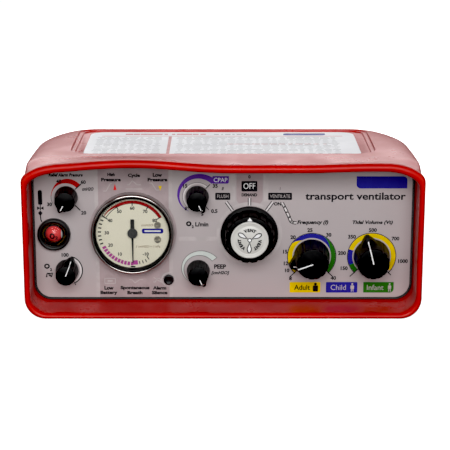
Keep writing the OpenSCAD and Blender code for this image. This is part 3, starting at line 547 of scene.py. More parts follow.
class Print:
    """Flat print on one plane, gathered by ink and made as thin plates that can't flicker."""

    THICKNESS = 0.012
    STEP = 0.022

    def __init__(self, name: str, depth: float) -> None:
        """Keeps the name of the sheet and the depth of the face that it is printed on."""
        self.name = name
        self.depth = depth
        self.sheets: dict[Ink, Solid] = {}

    def fill(self, outline: Sequence[Point2], ink: Ink, layer: int = 1) -> None:
        """Prints a filled outline. A higher layer lies over a lower one."""
        face = self.depth - self.STEP * layer
        self.sheets.setdefault(ink, Solid()).prism(outline, face, face + self.THICKNESS)

    def disc(self, at: Point2, radius: float, ink: Ink, layer: int = 1) -> None:
        """Prints a disc."""
        self.fill([polar(at, 7.5 * i, radius) for i in range(48)], ink, layer)

    def line(self, a: Point2, b: Point2, width: float, ink: Ink, layer: int = 1) -> None:
        """Prints a straight line."""
        dx, dz = b[0] - a[0], b[1] - a[1]
        length = math.hypot(dx, dz)
        nx, nz = -dz / length * width / 2, dx / length * width / 2
        self.fill([(a[0] + nx, a[1] + nz), (b[0] + nx, b[1] + nz),
                   (b[0] - nx, b[1] - nz), (a[0] - nx, a[1] - nz)], ink, layer)

    def path(self, points: Sequence[Point2], width: float, ink: Ink, layer: int = 1) -> None:
        """Prints a line through several points, with its joints filled."""
        for a, b in zip(points[:-1], points[1:]):
            self.line(a, b, width, ink, layer)
        for p in points[1:-1]:
            self.disc(p, width / 2, ink, layer)

    def arc(self, at: Point2, a0: float, a1: float, radius: float, width: float, ink: Ink, layer: int = 1) -> None:
        """Prints an arc of even width."""
        self.fill(band(at, a0, a1, lambda t: radius + width / 2, lambda t: radius - width / 2), ink, layer)

    def text(self, words: str, at: Point2, height: float, ink: Ink = Ink.BLACK, width: Optional[float] = None,
             slant: float = 0.0, weight: float = 0.0, turn: float = 0.0, layer: int = 2) -> None:
        """Prints words, centred.

        Args:
            words: what is printed.
            at: the middle of the words.
            height: height of the tallest letter.
            ink: its ink.
            width: overall width, where the words are drawn narrower or wider.
            slant: lean of italic letters.
            weight: extra thickness of the strokes, as a share of the height.
            turn: clockwise turn of the words, in degrees.
            layer: the print layer.
        """
        curve = bpy.data.curves.new("words", "FONT")
        curve.body = words
        curve.resolution_u = 3
        curve.extrude = 0.01
        curve.offset = weight
        curve.shear = slant
        holder = bpy.data.objects.new("words", curve)
        bpy.context.scene.collection.objects.link(holder)
        mesh = bpy.data.meshes.new_from_object(holder.evaluated_get(bpy.context.evaluated_depsgraph_get()))
        spots = np.array([v.co for v in mesh.vertices])
        low, high = spots.min(0), spots.max(0)
        tall = height / (high[1] - low[1])
        wide = tall if width is None else width / (high[0] - low[0])
        c, s = math.cos(math.radians(turn)), math.sin(math.radians(turn))
        face = self.depth - self.STEP * layer
        points = []
        for x, y, z in spots:
            px, pz = (x - (low[0] + high[0]) / 2) * wide, (y - (low[1] + high[1]) / 2) * tall
            depth = face + (self.THICKNESS if z < 0 else 0.0)
            points.append((at[0] + c * px + s * pz, depth, at[1] - s * px + c * pz))
        self.sheets.setdefault(ink, Solid()).extend(points, [tuple(p.vertices) for p in mesh.polygons])
        bpy.data.objects.remove(holder)
        bpy.data.curves.remove(curve)
        bpy.data.meshes.remove(mesh)

    def build(self, body: str, slot: str) -> None:
        """Makes one object for each ink and lets it ride on a body."""
        for ink, solid in self.sheets.items():
            finish = ink_finish(ink)
            piece = solid.build(f"{self.name}_{ink.name.lower()}", finish)
            settle(piece, body, finish)


class Marks:
    """Repeated marks made by geometry nodes: rings of ticks and rows of printed bars."""

    _trees: dict[str, bpy.types.NodeTree] = {}

    @classmethod
    def _start(cls, name: str, numbers: dict[str, float], whole: Sequence[str]) -> tuple:
        """Starts a geometry tree with named inputs for its sizes."""
        tree = bpy.data.node_groups.new(name, "GeometryNodeTree")
        for key in whole:
            tree.interface.new_socket(key, in_out="INPUT", socket_type="NodeSocketInt")
        for key, value in numbers.items():
            socket = tree.interface.new_socket(key, in_out="INPUT", socket_type="NodeSocketFloat")
            socket.default_value = value
        tree.interface.new_socket("Centre", in_out="INPUT", socket_type="NodeSocketVector")
        tree.interface.new_socket("Material", in_out="INPUT", socket_type="NodeSocketMaterial")
        tree.interface.new_socket("Geometry", in_out="OUTPUT", socket_type="NodeSocketGeometry")
        graph = Graph(tree)
        return tree, graph, graph.add("NodeGroupInput").outputs, graph.add("NodeGroupOutput")

    @staticmethod
    def _finish(graph: Graph, given: object, out: bpy.types.Node, position: object, size: object,
                rotation: object, scale: object) -> None:
        """Puts a block on every point, realises the blocks and gives them their material."""
        points = graph.add("GeometryNodePoints")
        graph.link(given["Count"], points.inputs["Count"])
        placed = graph.add("ShaderNodeVectorMath", operation="ADD")
        graph.link(position, placed.inputs[0])
        graph.link(given["Centre"], placed.inputs[1])
        graph.link(placed.outputs[0], points.inputs["Position"])
        block = graph.add("GeometryNodeMeshCube")
        graph.link(size, block.inputs["Size"])
        put = graph.add("GeometryNodeInstanceOnPoints")
        graph.link(points.outputs[0], put.inputs["Points"])
        graph.link(block.outputs["Mesh"], put.inputs["Instance"])
        graph.feed(put.inputs["Rotation"], rotation)
        graph.feed(put.inputs["Scale"], scale)
        real = graph.add("GeometryNodeRealizeInstances")
        graph.link(put.outputs[0], real.inputs[0])
        paint = graph.add("GeometryNodeSetMaterial")
        graph.link(real.outputs[0], paint.inputs["Geometry"])
        graph.link(given["Material"], paint.inputs["Material"])
        graph.link(paint.outputs[0], out.inputs[0])

    @classmethod
    def _ticks(cls) -> bpy.types.NodeTree:
        """Radial ticks about an axis along Y, clockwise seen from the front."""
        numbers = {"First": 0.0, "Step": 0.1, "Radius": 0.01, "Length": 0.002, "Width": 0.0003, "Depth": 0.00002}
        tree, graph, given, out = cls._start("radial_ticks", numbers, ["Count"])
        index = graph.add("GeometryNodeInputIndex").outputs[0]
        angle = graph.math("MULTIPLY_ADD", index, given["Step"], given["First"])
        x = graph.math("MULTIPLY", graph.math("SINE", angle), given["Radius"])
        z = graph.math("MULTIPLY", graph.math("COSINE", angle), given["Radius"])
        size = graph.vector(given["Width"], given["Depth"], given["Length"])
        cls._finish(graph, given, out, graph.vector(x, 0.0, z), size, graph.vector(0.0, angle, 0.0), (1, 1, 1))
        return tree

    @classmethod
    def _bars(cls) -> bpy.types.NodeTree:
        """Rows of short bars of random length, like lines of small print on a sloping face."""
        numbers = {"Pitch": 0.004, "Row": 0.002, "Slope": 0.07, "Length": 0.003, "Height": 0.0006, "Depth": 0.00002}
        tree, graph, given, out = cls._start("print_bars", numbers, ["Count", "Columns", "Seed"])
        index = graph.add("GeometryNodeInputIndex").outputs[0]
        row = graph.math("FLOOR", graph.math("DIVIDE", index, given["Columns"]))
        column = graph.math("SUBTRACT", index, graph.math("MULTIPLY", row, given["Columns"]))
        size = graph.vector(given["Length"], given["Height"], given["Depth"])
        chance = graph.add("FunctionNodeRandomValue", data_type="FLOAT")
        chance.inputs[2].default_value = 0.25
        chance.inputs[3].default_value = 1.25
        graph.link(given["Seed"], chance.inputs["Seed"])
        y = graph.math("MULTIPLY", row, graph.math("MULTIPLY", given["Row"], -1.0))
        z = graph.math("MULTIPLY", y, graph.math("MULTIPLY", given["Slope"], -1.0))
        position = graph.vector(graph.math("MULTIPLY", column, given["Pitch"]), y, z)
        tilt = graph.math("MULTIPLY", graph.math("ARCTANGENT", given["Slope"]), -1.0)
        scale = graph.vector(chance.outputs[1], 1.0, 1.0)
        cls._finish(graph, given, out, position, size, graph.vector(tilt, 0.0, 0.0), scale)
        return tree

    @classmethod
    def make(cls, kind: str, name: str, finish: object, centre: Vector, **values: float) -> bpy.types.Object:
        """Makes a piece from one of the trees.

        Args:
            kind: "ticks" or "bars".
            name: the piece's name.
            finish: its finish.
            centre: the centre or first bar, in metres.
            values: the tree's inputs by name, in metres and radians.

        Returns:
            A plain mesh object.
        """
        if kind not in cls._trees:
            cls._trees[kind] = cls._ticks() if kind == "ticks" else cls._bars()
        tree = cls._trees[kind]
        holder = bpy.data.objects.new("holder", bpy.data.meshes.new("holder"))
        bpy.context.scene.collection.objects.link(holder)
        modifier = holder.modifiers.new("marks", "NODES")
        modifier.node_group = tree
        given = {**values, "Centre": tuple(centre), "Material": finish.material()}
        for socket in tree.interface.items_tree:
            if socket.in_out == "INPUT" and socket.name in given:
                modifier[socket.identifier] = given[socket.name]
        source = holder.evaluated_get(bpy.context.evaluated_depsgraph_get())
        mesh = bpy.data.meshes.new_from_object(source)
        holder.modifiers.clear()
        bpy.data.objects.remove(holder)
        return make_object(name, mesh, finish, None)


def smooth(a: float, b: float, v: float) -> float:
    """Returns the soft step of v between a and b."""
    t = min(1.0, max(0.0, (v - a) / (b - a)))
    return t * t * (3 - 2 * t)


def mix(a: float, b: float, share: float) -> float:
    """Returns the value a share of the way from a to b."""
    return a + (b - a) * share


class CaseShape:
    """Outlines of the moulded case at any depth, in millimetres."""

    WIDTH = 220.0
    HEIGHT = 88.2
    DEPTH = 150.0
    WALL = 2.0
    FLOOR = 3.6
    BROW = 1.4 / 3.4
    BOTTOM_R = 11.5
    RECESS_Z = 86.9
    SLOPE = math.radians(4.0)

    @staticmethod
    def _rear_fall(v: float) -> float:
        """Returns how far the roof has curved down towards the rear."""
        return 0.0 if v <= 112 else 26 * (1 - math.sqrt(max(0.0, 1 - ((v - 112) / 39) ** 2)))

    @classmethod
    def half_width(cls, v: float) -> float:
        """Returns half the body's width."""
        u = max(0.0, (v - 76) / 76)
        return cls.WIDTH / 2 - 0.8 - 1.6 * v / 75 - 68 * (1 - max(0.0, 1 - u ** 2.1) ** (1 / 2.1))

    @classmethod
    def top(cls, v: float) -> float:
        """Returns the height of the body's top line."""
        crown = 1.5 * math.sin(math.pi * v / 118) if v < 118 else 0.0
        return cls.HEIGHT - 0.6 - v * math.tan(math.radians(3.7)) + crown - cls._rear_fall(v)

    @classmethod
    def roof(cls, v: float) -> float:
        """Returns the height of the underside of the top."""
        return cls.RECESS_Z - 2 - v * math.tan(cls.SLOPE) - cls._rear_fall(v)

    @staticmethod
    def swell(x: float) -> float:
        """Returns the rise of the rim line over the gauge and over the right-hand knobs."""
        def bump(centre: float, reach: float) -> float:
            """Returns one smooth rise."""
            if abs(x - centre) >= reach:
                return 0.0
            return math.cos(math.pi / 2 * (x - centre) / reach) ** 2
        return 2.9 * bump(-50, 55) + 0.9 * bump(83, 40)

    @classmethod
    def section(cls, w: float, low: float, high: float, rx: float, rz: float, rb: float, rise: float) -> list[Point2]:
        """Returns one cross-section.

        Args:
            w: half width.
            low, high: its lowest and highest height.
            rx, rz: half axes of the top corners.
            rb: radius of the bottom corners.
            rise: share of the rim's swell.
        """
        right = []
        for i in range(11):
            turn = math.radians(-90 + 9 * i)
            right.append((w - rb + rb * math.cos(turn), low + rb + rb * math.sin(turn)))
        for i in range(17):
            turn = math.radians(90 * i / 16)
            right.append((w - rx + rx * math.cos(turn), high - rz + rz * math.sin(turn)))
        crown = [((w - rx) * (1 - i / 24), high) for i in range(1, 48)]
        left = [(-x, z) for x, z in reversed(right)]
        points = right + crown + left
        return [(x, z + rise * cls.swell(x) * min(1.0, max(0.0, (z - high + rz) / rz))) for x, z in points]

    @classmethod
    def skin(cls, v: float, inset: float) -> list[Point2]:
        """Returns the outer skin at a depth."""
        t, s = smooth(6, 26, v), smooth(5, 110, v)
        return cls.section(cls.half_width(v) - inset, 0.0 if inset < 0.5 else 0.6 * inset, cls.top(v) - inset,
                           mix(20, mix(14, 18, s), t), mix(10, mix(4, 6, s), t), cls.BOTTOM_R,
                           1 - smooth(4, 30, v))

    @classmethod
    def bead(cls, inset: float) -> list[Point2]:
        """Returns the rim's bead, drawn in from its outermost line."""
        return cls.section(cls.WIDTH / 2 - inset, inset, cls.HEIGHT - inset * (1 + cls.BROW),
                           20 - inset / 2, 10 - inset / 2, cls.BOTTOM_R - inset / 2, 1.0)

    @classmethod
    def lining(cls, v: float) -> list[Point2]:
        """Returns the inner skin at a depth."""
        t = smooth(6, 26, v)
        return cls.section(cls.half_width(v) - cls.WALL, cls.FLOOR, cls.roof(v), mix(17, 14, t),
                           mix(8, 4, t), cls.BOTTOM_R - cls.WALL, 1 - smooth(4, 30, v))

    @classmethod
    def on_top(cls, x: float, along: float, rise: float) -> tuple[float, float, float]:
        """Returns a point over the sloping recess in the top, as (x, v, z)."""
        c, s = math.cos(cls.SLOPE), math.sin(cls.SLOPE)
        return x, along * c + rise * s, cls.RECESS_Z - along * s + rise * c


class CaseShell:
    """The red moulding: a loft with a rolled rim, a stepped recess and the openings for its fittings."""

    RECESS = ((0.0, 9.0), (0.0, 1.5), (0.08, 1.2), (0.3, 0.95), (0.7, 0.82), (1.2, 0.8), (1.9, 0.8),
              (2.3, 0.74), (2.5, 0.5), (2.52, 0.25), (2.7, 0.06), (3.0, 0.0))

    def _cutter(self) -> bpy.types.Object:
        """Builds everything that is cut out of the moulding."""
        solid = Solid()
        rings = []
        for inset, rise in self.RECESS:
            outline = rounded_box(-86 + inset, 86 - inset, 33 + 0.7 * inset, 117 - 0.6 * inset, [12 - inset] * 4, 10)
            rings.append([CaseShape.on_top(x, along, rise) for x, along in outline])
        solid.rings(rings)
        for node, radius in (("patient_outlet", 11.5), ("gas_inlet", 9.0), ("battery_cap", 8.6)):
            lathe(solid, centre_of(node), ((0, 146), (radius, 146), (radius, 149.2), (radius + 0.5, 150.6), (0, 150.6)))
        for x in (-78, 78):
            for v in (42, 104):
                self._drill(solid, x, v, ((4.3, -1), (4.3, 2.0), (2.2, 2.0), (2.2, 5)))
        for x in (-50, 50):
            for v in (50, 100):
                self._drill(solid, x, v, ((3.6, -1), (3.6, 5)))
        return solid.build("case_cutter", CASE_RED)

    @staticmethod
    def _drill(solid: Solid, x: float, v: float, profile: Sequence[Point2]) -> None:
        """Adds an upright turned shape to the cutter."""
        rings = []
        for radius, z in profile:
            turns = [math.tau * i / 48 for i in range(48)]
            rings.append([(x + radius * math.cos(t), v + radius * math.sin(t), z) for t in turns])
        solid.rings(rings)

    def build(self) -> None:
        """Builds the moulding in place of its plain node."""
        shape = CaseShape
        inner = [(v, shape.lining(v)) for v in np.linspace(147, 10, 48)]
        rim = ((6, 3.4), (4.6, 3.42), (3.2, 3.4), (2.2, 3.3), (1.3, 3.08), (0.6, 2.66), (0.18, 2.2), (0.0, 1.7),
               (0.06, 1.35), (0.3, 0.95), (0.8, 0.52), (1.5, 0.22), (2.3, 0.06), (3.2, 0.0), (4.0, 0.04), (4.8, 0.16))
        beads = [(v, shape.bead(inset)) for v, inset in rim]
        outer = [(v, shape.skin(v, 0.0)) for v in [7, 9, *np.linspace(11, 148.4, 66)]]
        rear = [(v, shape.skin(v, inset)) for v, inset in ((149.0, 0.25), (149.6, 0.8), (149.9, 1.5), (150.0, 2.2))]
        solid = Solid()
        solid.rings([[(x, v, z) for x, z in outline] for v, outline in inner + beads + outer + rear])
        shell = solid.build("case_moulding", CASE_RED)
        cutter = self._cutter()
        cut = shell.modifiers.new("cut", "BOOLEAN")
        cut.operation = "DIFFERENCE"
        cut.solver = "EXACT"
        cut.object = cutter
        mesh = bpy.data.meshes.new_from_object(shell.evaluated_get(bpy.context.evaluated_depsgraph_get()))
        for old in (shell, cutter):
            bpy.data.objects.remove(old)
        tidy_mesh(mesh, 2e-6)
        settle(make_object("case_moulding", mesh, CASE_RED, 32), ROOT, CASE_RED, "protective_case")


class TopLabel:
    """The instruction label in the recess, with lines of small print."""

    FACE = 0.31

    def _plate(self) -> None:
        """Builds the label itself."""
        solid = Solid()
        rings = []
        for inset, rise in ((0.0, 0.02), (0.0, 0.26), (0.05, self.FACE)):
            outline = rounded_box(-79 + inset, 78 - inset, 37 + inset, 112 - inset, [9] * 4, 10)
            rings.append([CaseShape.on_top(x, along, rise) for x, along in outline])
        solid.rings(rings)
        settle(solid.build("top_label", LABEL, 30), ROOT, LABEL, "instruction_label")

    def _patch(self, name: str, outline: Sequence[Point2], ink: Ink) -> None:
        """Prints a filled shape."""
        solid = Solid()
        solid.rings([[CaseShape.on_top(x, along, rise) for x, along in outline]
                     for rise in (self.FACE + 0.012, self.FACE + 0.026)])
        finish = ink_finish(ink)
        piece = solid.build(name, finish)
        settle(piece, ROOT, finish)

    def _bars(self, name: str, ink: Ink, x: float, along: float, columns: int, rows: int, pitch: float,
              row: float, length: float, height: float, seed: int) -> None:
        """Prints a block of small print, its first line at the back."""
        spot = CaseShape.on_top(x, along, self.FACE + 0.02)
        centre = Vector((spot[0] * MM, (FRONT_Y + spot[1]) * MM, spot[2] * MM))
        finish = ink_finish(ink)
        piece = Marks.make("bars", name, finish, centre, Count=columns * rows, Columns=columns, Seed=seed,
                           Pitch=pitch * MM, Row=row * MM, Slope=math.tan(CaseShape.SLOPE),
                           Length=length * MM, Height=height * MM, Depth=0.000014)
        settle(piece, ROOT, finish)

    def build(self) -> None:
        """Builds the label and its print."""
        self._plate()
        def strip(x0: float, x1: float, a0: float, a1: float) -> list[Point2]:
            """Returns the outline of an upright strip."""
            return rounded_box(x0, x1, a0, a1, [0.4] * 4, 3)
        self._patch("label_header_line", strip(-72, 71, 97.6, 98.8), Ink.TEXT_RED)
        self._patch("label_divider", strip(-32.2, -30.4, 38.5, 97.0), Ink.TEXT_RED)
        self._patch("label_tag", rounded_box(36, 61, 101.4, 107.4, [0.3, 2, 0.3, 2], 5), Ink.BLUE)
        self._bars("label_title", Ink.TEXT_RED, -56, 104.4, 11, 1, 4.4, 5, 3.9, 3.2, 3)
        self._bars("label_subtitle", Ink.TEXT_GREY, -4, 104.0, 6, 1, 3.4, 5, 3.0, 2.2, 4)
        self._bars("label_print_left", Ink.TEXT_GREY, -72, 94, 8, 14, 4.8, 3.9, 4.5, 0.9, 7)
        self._bars("label_print_right", Ink.TEXT_GREY, -25, 94, 19, 14, 5.0, 3.9, 4.7, 0.9, 11)
        self._bars("label_heads", Ink.TEXT_RED, 4, 72, 12, 1, 5.0, 5, 4.6, 1.0, 5)


@dataclass(frozen=True)
class Words:
    """One printed legend: its words, middle, letter height and style."""

    words: str
    at: Point2
    height: float = 2.3
    width: Optional[float] = None
    slant: float = 0.0
    weight: float = 0.04
    ink: Ink = Ink.BLACK


class PanelPrint:
    """Everything printed on the front overlay, and a painted shadow line along its edge."""

    LEGENDS = (
        Words("Relief Alarm Pressure", (-87.3, 76.9), 2.0, 19.0, 0.25, 0.045),
        Words("40", (-91.2, 73.2), 2.2), Words("60", (-77.6, 72.8), 2.2), Words("30", (-96.7, 59.9), 2.2),
        Words("20", (-77.8, 55.0), 2.2), Words("cmH2O", (-75.2, 68.8), 2.0, 6.4, 0.25),
        Words("O", (-99.2, 23.6), 3.1, None, 0.0, 0.06), Words("2", (-97.0, 21.6), 1.8), Words("[%]", (-98.0, 18.4), 2.6, 4.2, 0.25, 0.06),
        Words("100", (-88.8, 30.3), 2.3),
        Words("15", (-21.0, 70.6), 2.3), Words("35", (-4.4, 70.6), 2.3), Words("0.5", (-4.9, 56.0), 2.3),
        Words("8", (-20.8, 57.4), 2.0), Words("5", (-11.6, 54.2), 2.0),
        Words("O", (-19.2, 48.6), 3.0, weight=0.08), Words("2", (-17.0, 46.9), 1.7, weight=0.06),
        Words("L/min", (-11.9, 48.3), 2.6),
        Words("PEEP", (-1.7, 23.4), 2.6, 6.7), Words("[cmH2O]", (-1.6, 19.5), 2.4, 10.2, 0.25),
        Words("High", (-62.1, 76.9), 2.3, None, 0.0, 0.055), Words("Pressure", (-62.2, 74.2), 2.1, 11.0, 0.0, 0.055),
        Words("Cycle", (-49.4, 76.4), 2.6, 6.8, 0.0, 0.055),
        Words("Low", (-36.4, 76.9), 2.3, None, 0.0, 0.055), Words("Pressure", (-36.4, 74.2), 2.1, 11.0, 0.0, 0.055),
        Words("Low", (-64.5, 10.7), 2.3, None, 0.0, 0.055), Words("Battery", (-64.6, 7.7), 2.6, 9.6, 0.0, 0.055),
        Words("Spontaneous", (-49.8, 10.6), 2.6, 16.4, 0.0, 0.055), Words("Breath", (-49.9, 7.9), 2.1, 8.6, 0.0, 0.055),
        Words("Alarm", (-35.9, 10.7), 2.1, 7.6, 0.0, 0.055), Words("Silence", (-35.9, 7.9), 2.1, 8.9, 0.0, 0.055),
        Words("0", (14.6, 75.8), 1.9), Words("II", (-0.2, 69.0), 1.9, 1.3, 0.25), Words("I", (31.7, 69.0), 1.9, 0.4, 0.25),
        Words("OFF", (14.6, 70.5), 3.4, 6.6, 0.0, 0.0, Ink.WHITE),
        Words("FLUSH", (-0.2, 64.6), 1.9, 6.2, 0.0, 0.0, Ink.FAINT),
        Words("VENTILATE", (31.7, 64.6), 1.9, 11.2, 0.0, 0.0, Ink.FAINT),
        Words("DEMAND", (14.6, 65.4), 1.8, 8.6, 0.0, 0.05), Words("ON", (30.3, 60.2), 2.0),
        Words("CPAP", (-1.4, 74.0), 2.5, 7.6, 0.0, 0.0, Ink.WHITE),
        Words("Frequency (f)", (50.1, 49.2), 2.9, 17.4, 0.22), Words("Tidal Volume (Vt)", (83.6, 49.2), 2.7, 22.6, 0.22),
        Words("transport ventilator", (73.7, 64.0), 5.5, 56.0, 0.0, 0.024),
        Words("8", (38.0, 16.4), 2.3), Words("10", (36.1, 21.1), 2.3), Words("12", (35.4, 25.3), 2.3),
        Words("15", (34.9, 32.2), 2.3), Words("20", (39.2, 40.7), 2.3), Words("25", (48.6, 44.9), 2.3),
        Words("30", (59.2, 42.1), 2.3), Words("40", (62.2, 16.6), 2.3),
        Words("150", (68.2, 22.4), 2.3), Words("200", (66.8, 31.4), 2.3), Words("350", (72.2, 41.0), 2.3),
        Words("500", (83.8, 44.9), 2.3), Words("700", (96.6, 39.9), 2.3), Words("1000", (101.2, 26.6), 2.3),
        Words("Adult", (44.6, 11.0), 3.1, 9.0, 0.0, 0.02), Words("Child", (65.1, 11.0), 3.1, 8.6, 0.0, 0.0, Ink.FAINT),
        Words("Infant", (86.0, 11.0), 3.1, 9.4, 0.0, 0.0, Ink.FAINT),
    )

    def __init__(self) -> None:
        """Finds the face of the overlay and the middles of the controls."""
        self.sheet = Print("panel_ink", depths_of("panel_overlay")[0])
        controls = ("relief", "oxygen", "cpap", "peep", "selector", "frequency", "volume")
        self.at = {name: centre_of(f"{name}_spindle") for name in controls}
        self.gauge = centre_of("gauge_bezel")
        self.button = centre_of("silence_button")
        self.indicator = centre_of("indicator_lens")

    def build(self) -> None:
        """Prints the whole panel."""
        self._zones()
        self._small_scales()
        self._big_scales()
        self._selector_scale()
        self._icons()
        self._tags()
        for item in self.LEGENDS:
            self.sheet.text(item.words, item.at, item.height, item.ink, item.width, item.slant, item.weight,
                            layer=4)
        self.sheet.build(ROOT, OVERLAY.slot)

    def _zones(self) -> None:
        """Prints the darker fields, the pale lines round them and a painted shadow line round the overlay's edge."""
        p = self.sheet
        gx, gz = self.gauge
        clear = [polar(self.button, 163.0 + 17.85 * i, 3.4) for i in range(13)]
        p.fill([(-70.2, 5.2), (-29.7, 5.2), *clear, (-29.7, 81.0), (-70.2, 81.0)], Ink.ZONE)
        for x, low_z, high_z in ((-70.6, 5.2, 81.0), (-29.3, 5.2, 12.0), (-29.3, 19.4, 81.0)):
            p.line((x, low_z), (x, high_z), 2.0, Ink.FAINT, 2)
        p.disc((gx, gz), 24.6, Ink.ZONE, 3)
        # A black line round the overlay's edge is painted shadow: it widens the dark gap between the panel and the case
        # wall.
        low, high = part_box("panel_overlay")
        edge = rounded_box(low.x / MM + 0.2, high.x / MM - 0.2, low.z / MM + 0.2, high.z / MM - 0.2, [8.7] * 4, 8)
        p.path([*edge, edge[0]], 0.4, Ink.BLACK, 4)
        p.fill(rounded_box(7.4, 22.1, 59.5, 80.6, [4, 4, 0.1, 0.1], 6), Ink.ZONE)
        p.line((5.3, 81.0), (5.3, 61.5), 2.6, Ink.FAINT, 1)
        p.line((23.9, 81.0), (23.9, 61.5), 2.6, Ink.FAINT, 1)
        p.line((-25.0, 39.8), (-2.2, 39.8), 2.4, Ink.FAINT, 1)
        for start in (-180, 0):
            p.arc(self.at["selector"], start, start + 180, 17.4, 2.0, Ink.FAINT, 2)
            p.arc(self.button, start, start + 180, 3.9, 0.6, Ink.FAINT, 4)

    def _tick(self, at: Point2, angle: float, r0: float, r1: float, width: float = 0.45) -> None:
        """Prints a radial tick."""
        self.sheet.line(polar(at, angle, r0), polar(at, angle, r1), width, Ink.BLACK, 4)

    def _small_scales(self) -> None:
        """Prints the scales of the four small knobs."""
        p = self.sheet
        relief, oxygen, cpap, peep = (self.at[n] for n in ("relief", "oxygen", "cpap", "peep"))
        p.arc(relief, -118, -80, 8.45, 0.35, Ink.GREY, 2)
        p.fill(band(relief, -85, 50, lambda t: mix(8.6, 10.7, smooth(0.05, 0.75, t)),
                    lambda t: mix(8.3, 7.9, smooth(0.1, 0.8, t))), Ink.RED, 3)
        self._tick(relief, 48, 6.6, 11.4, 0.6)
        self._tick(relief, 135, 6.4, 10.9, 0.6)
        p.fill(band(oxygen, 26, 150, lambda t: 8.9, lambda t: 8.3), Ink.BLACK, 3)
        p.fill(band(oxygen, 26, 150, lambda t: 8.3, lambda t: 7.3), Ink.PALE, 2)
        self._tick(oxygen, 152, 7.2, 10.0)
        p.fill(band(cpap, -150, 47, lambda t: mix(9.7, 14.2, t),
                    lambda t: mix(9.5, 11.2, t) - 0.3 * smooth(0.0, 0.6, t)), Ink.PURPLE, 3)
        p.arc(cpap, -150, 45, 8.2, 0.3, Ink.GREY, 3)
        p.fill(band(cpap, -150, 45, lambda t: 8.05, lambda t: 7.2), Ink.PALE, 2)
        for angle, reach in ((45, 10.1), (140, 10.0), (-140, 8.4), (-165, 8.4), (165, 8.4)):
            self._tick(cpap, angle, 6.6, reach)
        outline = band(peep, -145, 54, lambda t: mix(7.9, 13.0, t), lambda t: mix(7.5, 9.6, t))
        p.fill(outline, Ink.MINT, 3)
        p.path([*outline, outline[0]], 0.3, Ink.GREY, 4)

    def _big_scales(self) -> None:
        """Prints the coloured rings of the two big knobs."""
        p, out, low = self.sheet, 13.4, 10.9
        for name in ("frequency", "volume"):
            at = self.at[name]
            p.arc(at, -137, 137, out + 0.25, 0.4, Ink.BLACK, 3)
            for angle in (-135, 135):
                self._tick(at, angle, low - 0.4, 17.0 if angle < 0 or name == "frequency" else 15.8, 0.55)
        at = self.at["frequency"]
        p.fill(band(at, -135, -26, lambda t: mix(out, low, smooth(0.72, 1.0, t)), lambda t: low), Ink.YELLOW, 3)
        p.fill(band(at, -57, 76, lambda t: mix(out, low, smooth(0.62, 1.0, t)),
                    lambda t: mix(out, low, smooth(0.0, 0.24, t))), Ink.BLUE, 3)
        p.fill(band(at, 26, 135, lambda t: out, lambda t: mix(out, low, smooth(0.0, 0.46, t))), Ink.GREEN, 3)
        at = self.at["volume"]
        for a0, a1, ink in ((-135, -112, Ink.GREEN), (-112, -72, Ink.BLUE), (-72, 129, Ink.YELLOW)):
            p.fill(band(at, a0, a1, lambda t: out, lambda t: low), ink, 3)

    def _selector_scale(self) -> None:
        """Prints the stalks and boxes of the selector's three settings."""
        p = self.sheet
        at = self.at["selector"]
        def stalk(points: Sequence[Point2]) -> None:
            """Prints one outlined stalk."""
            p.path(points, 1.85, Ink.BLACK, 3)
            p.path(points, 0.95, Ink.PALE, 4)
        for angle, reach in ((-35, 22.6), (0, 20.8), (35, 22.6)):
            stalk([polar(at, angle, 16.4), polar(at, angle, reach)])
        stalk([(32.8, 60.8), (34.2, 58.4), (35.6, 55.4), (36.9, 52.4), (37.9, 50.0), (39.0, 49.2), (41.0, 49.1)])
        p.fill(rounded_box(10.2, 19.0, 67.4, 73.4, [0.6] * 4, 4), Ink.BLACK, 3)
        p.fill(rounded_box(-4.4, 4.0, 62.5, 66.6, [0.5] * 4, 4), Ink.BLACK, 3)
        p.fill(rounded_box(25.1, 38.3, 62.5, 66.6, [0.5] * 4, 4), Ink.BLACK, 3)

    def _icons(self) -> None:
        """Prints the alarm pictograms and the supply cylinder."""
        p = self.sheet
        pictures = (
            ((-66.6, 67.6), (-65.0, 67.6), (-62.6, 72.0), (-61.6, 72.0)),
            ((-54.2, 68.8), (-45.0, 68.8)),
            ((-53.4, 71.2), (-52.2, 71.2), (-50.4, 73.6), (-47.8, 71.2), (-45.6, 71.2)),
            ((-41.0, 72.2), (-39.6, 72.2), (-37.2, 68.2), (-35.6, 68.2)),
            ((-66.8, 13.4), (-60.8, 13.4), (-60.8, 16.4), (-66.8, 16.4), (-66.8, 13.4)),
            ((-53.0, 15.6), (-51.4, 15.6), (-49.8, 13.6), (-47.2, 15.6), (-45.2, 15.6)),
            ((-39.4, 14.2), (-38.2, 14.2), (-37.4, 16.4), (-35.6, 16.4), (-34.8, 14.2), (-33.8, 14.2)),
            ((-39.2, 16.9), (-34.0, 13.5)),
        )
        for points in pictures:
            p.path(points, 0.4, Ink.FAINT, 3)
        p.line((-65.2, 14.9), (-62.4, 14.9), 0.9, Ink.FAINT, 3)
        p.fill([(-61.0, 68.2), (-59.2, 68.2), (-60.1, 71.8)], Ink.BRIGHT_RED, 3)
        p.fill([(-36.0, 70.6), (-34.0, 70.6), (-35.0, 67.8)], Ink.YELLOW, 3)
        p.fill(rounded_box(-103.1, -100.7, 59.7, 68.2, [0.6, 0.6, 1.2, 1.2], 6), Ink.BLACK, 3)
        for side in (-1, 1):
            p.fill([(-101.9, 57.7), (-101.9 + 1.8 * side, 58.7), (-101.9 + 1.8 * side, 56.7)], Ink.BLACK, 3)
        p.line((-101.9, 59.8), (-101.9, 56.4), 0.5, Ink.BLACK, 4)
        p.fill([(-103.3, 54.9), (-102.0, 56.3), (-100.7, 54.9), (-102.0, 53.0)], Ink.BLACK, 3)
